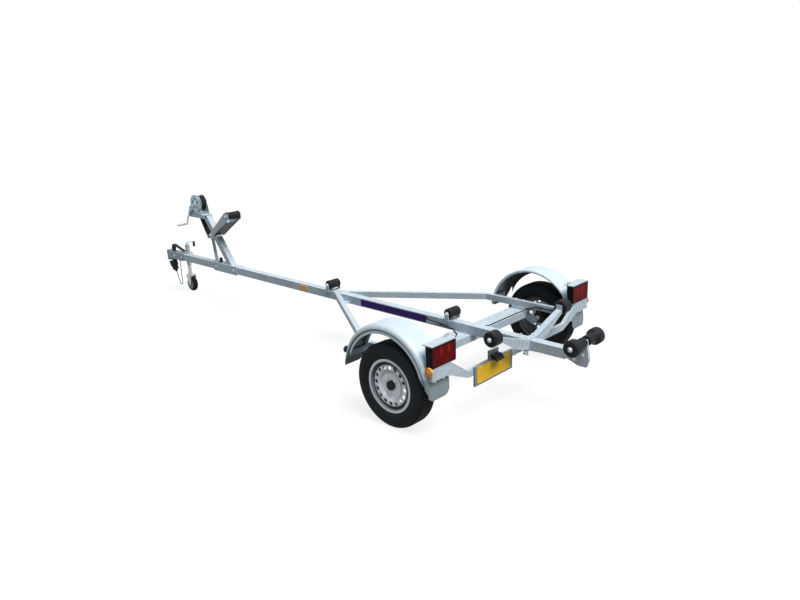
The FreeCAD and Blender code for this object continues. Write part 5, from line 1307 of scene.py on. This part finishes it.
# %% Plugs in the rail ends
RAIL_END, PLUG_Y, PLUG_Z = span("side_rail_left", 0)[LOW], (0.7015, 0.7385), (0.3985, 0.4455)
plugs = []
for sign in (1, -1):
    low, high = to_side(*PLUG_Y, sign)
    corners = rounded((low, PLUG_Z[LOW]), (high, PLUG_Z[HIGH]), 0.004)
    plugs.append(slab("plug", corners, RAIL_END - 0.003, RAIL_END + 0.0006, "x", BLACK))
piece("rail_end_plugs", merged("rail_end_plugs", plugs), "frame", bevel=0.001)
print("rail ends at", RAIL_END)

# %% [markdown]
# ## Weld seams
# A seam is a row of overlapping scales. Displacement would need a dense mesh,
# so a flat drop is set every few millimetres along each joint instead.

# %% Weld seams
DROP = [(0, -0.0022), (0.0024, -0.0018), (0.0036, 0), (0.0030, 0.0013), (0.0016, 0.0019),
        (0, 0.0021)]
POST_Z, BRACKET_Z, V_X, TAIL_X, TUBE_Y = 0.4535, 0.4475, -0.196, -2.437, 0.0355
SIDE_SEAMS = ((1.344, 1.420, 0.0305, POST_Z), (1.642, 1.654, 0.0155, POST_Z),
              (-0.160, -0.128, 0.0345, BRACKET_Z), (-1.488, -1.456, 0.0345, BRACKET_Z))
CROSS_SEAMS = ((1.4205, 0.030, POST_Z, (1, 0, 0.6)), (1.3435, 0.030, POST_Z, (-1, 0, 0.6)),
               (TAIL_X, 0.034, BRACKET_Z, (0, 0, 1)))


def along_line(start, end, way, pitch=0.0045):
    """Spots for drops of weld from one point to another."""
    start, end = Vector(start), Vector(end)
    count = max(2, int((end - start).length / pitch))
    way = Vector(way).normalized()
    return [(start.lerp(end, index / (count - 1)), way, 1.0) for index in range(count)]


seams = []
for sign in (1, -1):
    for first_x, last_x, y, z in SIDE_SEAMS:
        seams += along_line((first_x, sign * y, z), (last_x, sign * y, z), (0, sign, 0.6))
    y = sign * TUBE_Y
    seams += along_line((V_X, y, 0.399), (V_X, y, 0.446), (1, sign * 0.8, 0))
    seams += along_line((TAIL_X, y, 0.379), (TAIL_X, y, 0.446), (0, sign, 0))
    seams += along_line((V_X, y, 0.4472), (-0.268, y, 0.4472), (0, 0, 1))
for x, y, z, way in CROSS_SEAMS:
    seams += along_line((x, -y, z), (x, y, z), way)
repeated("weld_seams", lathe("drop", DROP, WELD, 10), seams, "frame", seed=11)

# %% [markdown]
# ## Cable fixings
# The light cable leaves the draw tube through a rubber ring, and clips hold it
# to the tube and the rails. Without them it would seem to grow out of the steel.
# They could be one solid with the cable, but as pieces they keep their own edges.

# %% Rubber rings and clips
GROMMET = [(0.0042, 0), (0.0095, 0), (0.0095, 0.002), (0.0075, 0.0035), (0.0042, 0.0035)]
CLIP = [(-0.0062, -0.0001), (0.0062, -0.0001), (0.0062, 0.0088), (0.0040, 0.0105),
        (-0.0040, 0.0105), (-0.0062, 0.0088)]
CLIPS = ((-1.388, SPINE_SIDE, 1, (0.3968, 0.4088)), (-1.80, 0.700, -1, (0.4165, 0.4275)),
         (-1.90, 0.700, -1, (0.4165, 0.4275)))
grommet = lathe("grommet", GROMMET, BLACK, 24)
grommets, clips = [], []
for sign in (1, -1):
    grommets.append(across_trailer(grommet, -1.249, sign * (SPINE_SIDE - SINK), 0.423, sign))
    for x, face_y, way, heights in CLIPS:
        corners = [(x + u, sign * (face_y + way * v)) for u, v in CLIP]
        clips.append(slab("clip", corners, *heights, "z", BLACK))
piece("cable_grommets", merged("cable_grommets", grommets), "frame")
piece("cable_clips", merged("cable_clips", clips), "frame")
print("clips", len(clips))

# %% [markdown]
# ## Foot cap
# A blue plastic cap stands over the clamp bolt between the post and its brace.
# A cylinder would do, but a rounded block with a soft edge is closer to a cap.

# %% Foot cap
CAP_LOW, CAP_HIGH = 0.4525, 0.500
cap_outline = rounded((1.560, -0.013), (1.590, 0.013), 0.005)
cap = slab("foot_cap", cap_outline, CAP_LOW, CAP_HIGH, "z", BLUE)
piece("foot_bolt_cap", cap, "frame", bevel=0.002)
print("foot cap", round(CAP_HIGH - CAP_LOW, 4), "tall")

# %% [markdown]
# ## Stage
# A white page is wanted behind a trailer that is lit softly from above. More
# light would bleach the zinc, so the floor adds a glow of its own instead: the
# camera and mirror-like surfaces see it, and the trailer's shadow stays on it.
# A wide sun stands for a big soft box overhead, and the world fills the shade.

# %% Floor, surround and sun
FLOOR_ALBEDO, FLOOR_GLOW, FLOOR_REACH = 0.19, 0.82, 60
SHADE_LEVEL, SHADE_TINT, WHITE = 0.175, (0.74, 0.90, 1.0), (1.0, 1.0, 1.0)
SUN_WAY, SUN_DEGREES, SUN_LEVEL = (0.43, -0.035, -0.90), 40, 1.26


def seen_directly(tree):
    """1 for rays from the camera, from gloss and through glass, otherwise 0."""
    rays = ("Is Camera Ray", "Is Glossy Ray", "Is Transmission Ray")
    camera_ray, glossy_ray, glass_ray = (add_node(tree, "ShaderNodeLightPath", ray, {})
                                         for ray in rays)
    return camera_ray.larger(glossy_ray).larger(glass_ray)


def white_floor():
    """The floor: a grey that takes the shadow, and a glow that only the eye sees."""
    m = Sheet("floor_white")
    glow = seen_directly(m.tree).mix((0.0, 0.0, 0.0), (FLOOR_GLOW,) * 3)
    m.set(colour=(FLOOR_ALBEDO,) * 3, rough=0.95, shine=0.0, glow=glow, glow_strength=1.0)
    turns = ((-1, -1), (1, -1), (1, 1), (-1, 1))
    corners = [(u * FLOOR_REACH, v * FLOOR_REACH, 0) for u, v in turns]
    mesh = from_faces("floor", corners, [(0, 1, 2, 3)], m.material)
    floor = bpy.data.objects.new("floor", mesh)
    bpy.context.collection.objects.link(floor)


def surround():
    """The world: white where it is seen, a tinted shade where it only lights."""
    world = bpy.data.worlds.new("surround")
    bpy.context.scene.world = world
    world.use_nodes = True
    tree = world.node_tree
    background = tree.nodes["Background"]
    direct = seen_directly(tree)
    feed(tree, background.inputs["Color"], direct.mix(SHADE_TINT, WHITE))
    feed(tree, background.inputs["Strength"], direct * (1.0 - SHADE_LEVEL) + SHADE_LEVEL)


def soft_sun():
    """A wide sun, which stands for a soft box as big as the ceiling."""
    data = bpy.data.lights.new("overhead", "SUN")
    data.angle, data.energy = math.radians(SUN_DEGREES), SUN_LEVEL * math.pi
    made = bpy.data.objects.new("overhead", data)
    made.matrix_world = Vector(SUN_WAY).to_track_quat("-Z", "Y").to_matrix().to_4x4()
    bpy.context.collection.objects.link(made)


white_floor()
surround()
soft_sun()
print("floor albedo", FLOOR_ALBEDO, "glow", FLOOR_GLOW, "shade", SHADE_LEVEL)

# %% [markdown]
